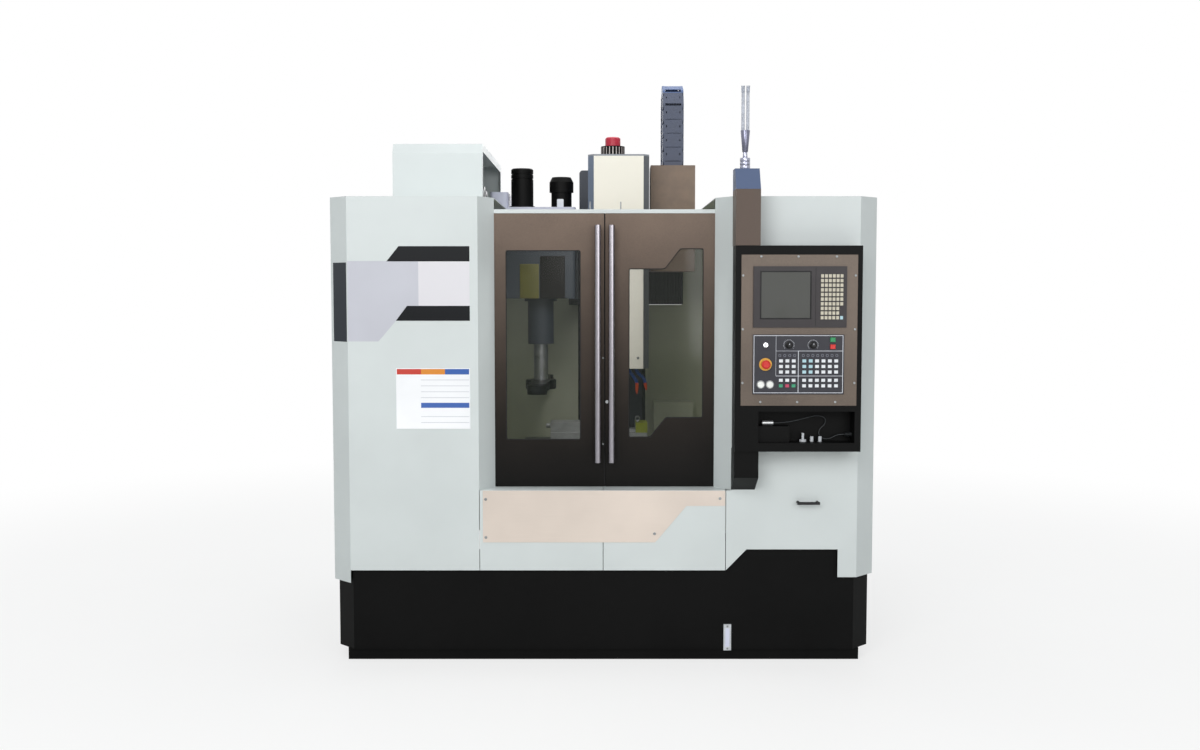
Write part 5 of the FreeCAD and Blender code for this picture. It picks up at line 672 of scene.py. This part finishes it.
class MACHINE_OT_plate_screws(bpy.types.Operator):
    """Drive the screws of the kick plate, the control box's plate, the gauge and the head's cover"""
    bl_idname = "machine.plate_screws"
    bl_label = "Plate screws"

    def execute(self, context):
        _, fit = settings()
        edge_screws = [(x, z) for z in (1.9295, 1.2621) for x in (0.7212, 0.8912, 1.0663)]
        edge_screws += [(x, z) for x in (0.6385, 1.1534) for z in (1.843, 1.597, 1.35)]
        for name, node, body, radius, places in (
                ("kick_plate_screws", "kick_plate", "machine", fit.kick_screw_radius,
                 [(-0.5595, 0.785), (-0.5595, 0.602), (0.5536, 0.789), (0.2429, 0.62)]),
                ("control_plate_screws", "panel_plate", "control_box", fit.screw_radius, edge_screws),
                ("gauge_screws", "level_gauge", "machine", 0.0045, [(0.594, 0.061), (0.594, 0.169)]),
                ("head_cover_screw", "head_cover", "head", 0.0075, [(0.1896, 1.4091)])):
            screw = socket_screw((0, front_of(node), 0), radius, 0.003)
            end_piece(copy_to(screw, [(x, 0, z) for x, z in places]), name, body, "zinc", 0.0004)
        return {"FINISHED"}


class MACHINE_OT_screen_trim(bpy.types.Operator):
    """Fit the gasket round the screen and the bead beside its keys"""
    bl_idname = "machine.screen_trim"
    bl_label = "Screen trim"

    def execute(self, context):
        low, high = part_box("display_glass")
        face = front_of("display_unit") + 0.0025
        gasket = start_block((low[0] - 0.004, face - 0.0012, low[2] - 0.004),
                             (high[0] + 0.004, low[1] + 0.0016, high[2] + 0.004))
        end_piece(open_middle(gasket, 0.0055), "screen_gasket", "control_box", "rubber", 0.0005)
        bead = start_block((0.9695, face - 0.0006, 1.612), (0.9711, face + 0.0002, 1.878))
        end_piece(bead, "screen_bead", "control_box", "rubber", 0.0002, 1)
        return {"FINISHED"}


class MACHINE_OT_key_caps(bpy.types.Operator):
    """Fit moulded caps on the keys beside the screen and on the operator's panel"""
    bl_idname = "machine.key_caps"
    bl_label = "Key caps"

    def execute(self, context):
        screen = front_of("display_unit")
        panel = front_of("operator_panel") + 0.0015
        pad, pitch_x, pitch_z = (0.0172, 0.0142), 0.0293, 0.0255
        cap, cap_pitch_x, cap_pitch_z = (0.0132, 0.0152), 0.0178, 0.0212
        left = [(0.814 + pitch_x * column, 1.452 - pitch_z * row) for row in range(3) for column in range(3)]
        left += [(0.814 + pitch_x * column, 1.363) for column in range(3)]
        right = [(0.921 + pitch_x * column, top - pitch_z * row, rows == 3 and column < 2)
                 for top, rows in ((1.452, 3), (1.363, 2)) for row in range(rows) for column in range(6)]
        for name, finish, slot, face, (width, height), places in (
                ("screen_key_caps", "cream_cap", "slate_plastic", screen, cap,
                 [(1.0 + cap_pitch_x * column, 1.841 - cap_pitch_z * row) for row in range(10)
                  for column in range(5 if row in (7, 8) else 6) if (row, column) != (9, 5)]),
                ("screen_cyan_cap", "cyan_cap", "slate_plastic", screen, cap, [(1.089, 1.6502)]),
                ("white_key_caps", "white_cap", "white_plastic", panel, pad,
                 left + [(x, z) for x, z, cyan in right if not cyan]),
                ("cyan_key_caps", "cyan_cap", "white_plastic", panel, pad, [(x, z) for x, z, cyan in right if cyan]),
                ("green_key_caps", "green_cap", "green_plastic", panel, pad, [(0.814, 1.3375), (0.8726, 1.3375)]),
                ("red_key_cap", "rose_cap", "red_plastic", panel, pad, [(0.8433, 1.3375)])):
            key = start_block((-width / 2, face - 0.0012, -height / 2), (width / 2, face + 0.0004, height / 2))
            step_face(key, faces_front, width * 0.16, (0, 0.0005, 0))
            end_piece(copy_to(key, [(x, 0, z) for x, z in places]), name, "control_box", finish, 0.0005, 1)
        return {"FINISHED"}


class MACHINE_OT_panel_markings(bpy.types.Operator):
    """Print the operator panel's lines and dials, and fit its lamps, bezels and pointers"""
    bl_idname = "machine.panel_markings"
    bl_label = "Panel markings"

    def execute(self, context):
        _, fit = settings()
        face = front_of("operator_panel") + 0.004
        # The edges of the printed frame, and its rules from the left and from the foot
        left, right, low, high = 0.690, 1.098, 1.305, 1.568
        side_rule, rule, lower, upper = 0.791, 0.894, 1.3825, 1.4975
        half = fit.line_width / 2
        lines = [open_middle(start_block((left - half, face - 0.0003, low - half),
                                         (right + half, face + 0.0002, high + half)), fit.line_width),
                 start_block((rule - half, face - 0.0003, low), (rule + half, face + 0.0002, upper))]
        for z, start in ((upper, rule), (lower, side_rule)):
            lines.append(start_block((start, face - 0.00035, z - half * 0.8), (right, face + 0.0002, z + half * 0.8)))
        end_piece(join(lines), "panel_frame_lines", "control_box", "line", 0.0001, 1)
        thin = half / 2
        lines = [start_block((side_rule - thin, face - 0.0002, 1.383), (side_rule + thin, face + 0.0002, 1.565)),
                 start_block((side_rule, face - 0.0002, upper - thin), (rule, face + 0.0002, upper + thin))]
        dials = ((0.85, 1.525, 0.0215), (0.961, 1.525, 0.0205))
        tick = start_block((-0.0006, face - 0.0002, 0), (0.0006, face + 0.0002, fit.tick_length))
        places = []
        for x, z, radius in dials:
            for index in range(fit.ticks):
                turn = math.radians(-125 + 250 * index / (fit.ticks - 1))
                places.append((x + radius * math.sin(turn), 0, z + radius * math.cos(turn), turn))
        end_piece(join([copy_to(tick, places), *lines]), "dial_ticks", "control_box", "line",
                  0.0001, 1)
        for (x, z, _), knob in zip(dials, ("feed_knob", "spindle_knob")):
            front = front_of(knob)
            pointer = start_block((x - 0.0012, front - 0.0002, z + 0.001), (x + 0.0012, front + 0.0004, z + 0.0095))
            choose(pointer, faces_up)
            bpy.ops.transform.resize(value=(0.5, 1, 1))
            end_piece(pointer, knob + "_pointer", knob, "line", 0.0001, 1)
        lamp = start_disc((0, face + 0.0002, 0), 0.0062, -0.0012, "y", 20)
        open_middle(lamp, 0.0016)
        end_piece(copy_to(lamp, [(0.8087 + 0.0226 * index, 0, 1.4768) for index in range(4)]
                          + [(0.9165 + 0.022 * index, 0, 1.4768) for index in range(8)]),
                  "panel_lamp_rings", "control_box", "faint_line", 0.0002, 1)
        ring = open_middle(start_disc((0, face + 0.0004, 0), 0.019, -0.0032, "y", 40), 0.0032)
        end_piece(copy_to(ring, [(0.722, 0, 1.343), (0.764, 0, 1.343)]), "round_button_bezels", "control_box",
                  "zinc", 0.0007)
        return {"FINISHED"}


class MACHINE_OT_signal_lamp(bpy.types.Operator):
    """Turn the signal lamp: ringed base, neck, tapered sleeve and two clear tubes"""
    bl_idname = "machine.signal_lamp"
    bl_label = "Signal lamp"

    def execute(self, context):
        x, y, foot = upright_of("signal_lamp")
        # Each ring's start over the foot, its height, and its radius below and above
        rings = [start_disc((x, y, foot + start), below, height, "z", 48, above) for start, height, below, above in (
            (0, 0.016, 0.0235, 0.0235), (0.016, 0.002, 0.0215, 0.0215), (0.018, 0.015, 0.0235, 0.0235),
            (0.033, 0.002, 0.0215, 0.0215), (0.035, 0.016, 0.0235, 0.0232), (0.051, 0.029, 0.0115, 0.0095))]
        end_piece(join(rings), "lamp_base", "machine", "lamp_foot", 0.0008)
        sleeve = start_disc((x, y, foot + 0.078), 0.013, 0.099, "z", 48, 0.022)
        choose(sleeve, faces_up)
        bpy.ops.mesh.inset(thickness=0.0015)
        push((0, 0, -0.004))
        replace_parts(end_piece(sleeve, "lamp_sleeve", "machine", "sleeve", 0.0006), "signal_lamp")
        tubes = []
        for side in (-1, 1):
            tube = start_disc((x + side * 0.011, y, foot + 0.17), 0.0082, 0.199, "z", 32, 0.0075)
            choose(tube, faces_up)
            push((side * 0.001, 0, 0.012))
            bpy.ops.transform.resize(value=(1.25, 1.25, 1))
            bpy.ops.mesh.inset(thickness=0.0016)
            push((0, 0, -0.03))
            tubes.append(tube)
        end_piece(join(tubes), "lamp_tubes", "machine", "lamp", 0.0005)
        return {"FINISHED"}


class MACHINE_OT_inner_fittings(bpy.types.Operator):
    """Fit the gear case's plates, the motors' plate and fan ribs, the vise's eye bolt and the column's curtain"""
    bl_idname = "machine.inner_fittings"
    bl_label = "Inner fittings"

    def execute(self, context):
        _, fit = settings()
        case = front_of("cam_box")
        for name, finish, (left, low), (right, high), face in (
                ("gear_case_ochre_plate", "ochre", (-0.451, 1.731), (-0.348, 1.918), case),
                ("gear_case_umber_plate", "umber", (-0.342, 1.731), (-0.2065, 1.961), case),
                ("arm_motor_plate", "white_cap", (-0.2515, 2.2275), (-0.2155, 2.2732), front_of("arm_motor"))):
            plate = start_block((left, face - 0.004, low), (right, face + 0.004, high))
            choose(plate, lies_in_depth, "EDGE")
            bpy.ops.mesh.bevel(offset=0.005, segments=3, affect="EDGES")
            step_face(plate, faces_front, 0.004, (0, -0.0012, 0))
            end_piece(plate, name, "machine", finish, 0.0008)
        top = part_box("vise_body")[1][2]
        eye = start_piece(bpy.ops.mesh.primitive_torus_add, major_radius=0.012, minor_radius=0.0035,
                          major_segments=32, minor_segments=12, location=(0.192, -0.1, top + 0.017),
                          rotation=(math.pi / 2, 0, 0))
        collar = start_disc((0.192, -0.1, top - 0.001), 0.009, 0.006, "z", 24, 0.006)
        end_piece(join([eye, collar]), "vise_eye_bolt", "table", "zinc", 0.0004)
        x, y, collar_top = upright_of("motor_cap")
        rib = start_block((x - 0.0028, y - 0.0662, collar_top - 0.053), (x + 0.0028, y - 0.0645, collar_top - 0.005))
        for _ in range(fit.fan_ribs - 1):
            bpy.ops.mesh.duplicate()
            bpy.ops.transform.rotate(value=2 * math.pi / fit.fan_ribs, orient_axis="Z",
                                     center_override=(x, y, collar_top))
        end_piece(rib, "fan_collar_ribs", "head", "rib", 0.0006, 1)
        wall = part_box("cabin_walls")[1][1]
        left, right = 0.2535, 0.477
        pitch = (right - left) / fit.pleats
        pleat = start_block((0, wall - 0.005, 1.692), (pitch, wall - 0.001, 2.2))
        step_face(pleat, faces_front, pitch * 0.3, (0, -0.003, 0))
        end_piece(copy_to(pleat, [(left + pitch * index, 0, 0) for index in range(fit.pleats)]), "column_curtain",
                  "machine", "rubber", 0.0008, 1)
        lips = [start_block((low_x, wall - 0.005, low_z), (high_x, wall - 0.0005, high_z))
                for low_x, low_z, high_x, high_z in ((-0.1465, 0.62, -0.1275, 1.692), (0.2355, 0.62, 0.2545, 2.2),
                                                     (-0.202, 1.688, -0.1275, 1.7245))]
        end_piece(join(lips), "column_wiper_lips", "machine", "rubber", 0.0008, 1)
        return {"FINISHED"}


class MACHINE_OT_stage(bpy.types.Operator):
    """Lay the floor, hang the lamps and set up the camera"""
    bl_idname = "machine.stage"
    bl_label = "Stage"

    def execute(self, context):
        scene = context.scene
        # Pale polished concrete: for the camera it is mostly plain white, and more so further off, and the machine's
        # shadow stays on it
        floor_material, tree, place = start_material("pale_floor")
        cloud = add_node(tree, "ShaderNodeTexNoise", {"Vector": place, "Scale": 1 / 0.9, "Detail": 4.0})
        tone = add_node(tree, "ShaderNodeMix", {"Factor": cloud.outputs["Fac"], "A": linear("#E0E1DF"),
                                                "B": linear("#E8E9E7")}, data_type="RGBA")
        matt = add_node(tree, "ShaderNodeBsdfPrincipled", {"Base Color": tone.outputs["Result"], "Roughness": 0.6})
        white = add_node(tree, "ShaderNodeEmission", {"Color": (1, 1, 1, 1), "Strength": 1.0})
        path = add_node(tree, "ShaderNodeLightPath").outputs
        reach = add_node(tree, "ShaderNodeVectorMath", {0: place}, operation="LENGTH").outputs["Value"]
        fade = add_node(tree, "ShaderNodeMapRange", {"Value": reach, "From Min": 2.2, "From Max": 7.0, "To Min": 0.72,
                                                     "To Max": 1.0}, interpolation_type="SMOOTHSTEP")
        part = add_node(tree, "ShaderNodeMath", {0: path["Is Camera Ray"], 1: fade.outputs["Result"]},
                        operation="MULTIPLY")
        mix = add_node(tree, "ShaderNodeMixShader", {0: part.outputs[0], 1: matt.outputs["BSDF"],
                                                     2: white.outputs["Emission"]})
        add_node(tree, "ShaderNodeOutputMaterial", {"Surface": mix.outputs[0]})
        floor = start_piece(bpy.ops.mesh.primitive_plane_add, size=60, location=(0, 0, 0))
        leave_edit()
        floor.name = floor.data.name = "floor"
        floor.data.materials.append(floor_material)

        world = scene.world or bpy.data.worlds.new("studio")
        scene.world = world
        world.use_nodes = True
        tree = world.node_tree
        tree.nodes.clear()
        path = add_node(tree, "ShaderNodeLightPath").outputs
        seen = add_node(tree, "ShaderNodeMath", {0: path["Is Camera Ray"], 1: path["Is Glossy Ray"]},
                        operation="MAXIMUM")
        seen = add_node(tree, "ShaderNodeMath", {0: seen.outputs[0], 1: path["Is Transmission Ray"]},
                        operation="MAXIMUM")
        soft = add_node(tree, "ShaderNodeBackground", {"Color": linear("#E8ECF0"), "Strength": 0.5})
        white = add_node(tree, "ShaderNodeBackground", {"Color": (1, 1, 1, 1), "Strength": 1.0})
        mix = add_node(tree, "ShaderNodeMixShader", {0: seen.outputs[0], 1: soft.outputs[0], 2: white.outputs[0]})
        add_node(tree, "ShaderNodeOutputWorld", {"Surface": mix.outputs[0]})

        # Lamp, its place, what it faces, its side in metres and its power in watts
        for name, location, target, size, power in (
                ("key_lamp", (-1.8, -6.6, 4.2), (0, 0, 1.2), 3.0, 178),
                ("fill_lamp", (2.2, -6.6, 2.6), (0, 0, 1.1), 3.0, 92),
                ("cabin_lamp", (-0.05, -0.8, 2.09), (-0.05, -0.8, 0), 0.3, 6),
                ("top_lamp", (0.2, 0.4, 5.4), (0, 0, 1.0), 3.6, 112),
                ("back_lamp", (0, 5.0, 3.6), (0, 0, 1.2), 3.0, 60)):
            light = bpy.data.lights.new(name, "AREA")
            light.shape = "SQUARE"
            light.size = size
            light.energy = power
            lamp = add_object(name, light)
            lamp.location = location
            lamp.rotation_euler = (Vector(target) - Vector(location)).to_track_quat("-Z", "Y").to_euler()

        # A camera at eye height that looks a little down
        focal_length, sensor_width, downward = 38.22, 36, 3.8
        lens = bpy.data.cameras.new("camera")
        lens.lens = focal_length
        lens.sensor_width = sensor_width
        camera = add_object("camera", lens)
        camera.location = (-0.0165, -7.15, 1.775)
        camera.rotation_euler = (math.radians(90 - downward), 0, 0)
        scene.camera = camera
        scene.view_settings.view_transform = "Standard"
        return {"FINISHED"}


class MACHINE_PT_sidebar(bpy.types.Panel):
    """The machining centre's finishes and fittings"""
    bl_idname = "MACHINE_PT_sidebar"
    bl_label = "Machining Centre"
    bl_space_type = "VIEW_3D"
    bl_region_type = "UI"
    bl_category = "Machining Centre"

    def draw(self, context):
        for operator in OPERATORS:
            self.layout.operator(operator.bl_idname)
        for group in (context.scene.machine_paint, context.scene.machine_fittings):
            column = self.layout.column()
            for name in group.__annotations__:
                column.prop(group, name)


OPERATORS = (MACHINE_OT_finishes, MACHINE_OT_stage, MACHINE_OT_tray_lead, MACHINE_OT_printed_fields,
             MACHINE_OT_door_trim, MACHINE_OT_window_seals, MACHINE_OT_plate_screws, MACHINE_OT_screen_trim,
             MACHINE_OT_key_caps, MACHINE_OT_panel_markings, MACHINE_OT_signal_lamp, MACHINE_OT_inner_fittings)
CLASSES = (PaintColours, FittingSizes, *OPERATORS, MACHINE_PT_sidebar)


def register():
    for item in CLASSES:
        bpy.utils.register_class(item)
    bpy.types.Scene.machine_paint = PointerProperty(type=PaintColours)
    bpy.types.Scene.machine_fittings = PointerProperty(type=FittingSizes)


def unregister():
    del bpy.types.Scene.machine_fittings
    del bpy.types.Scene.machine_paint
    for item in reversed(CLASSES):
        bpy.utils.unregister_class(item)


def main():
    register()
    for operator in OPERATORS:
        group, name = operator.bl_idname.split(".")
        getattr(getattr(bpy.ops, group), name)()


if __name__ == "__main__":
    main()
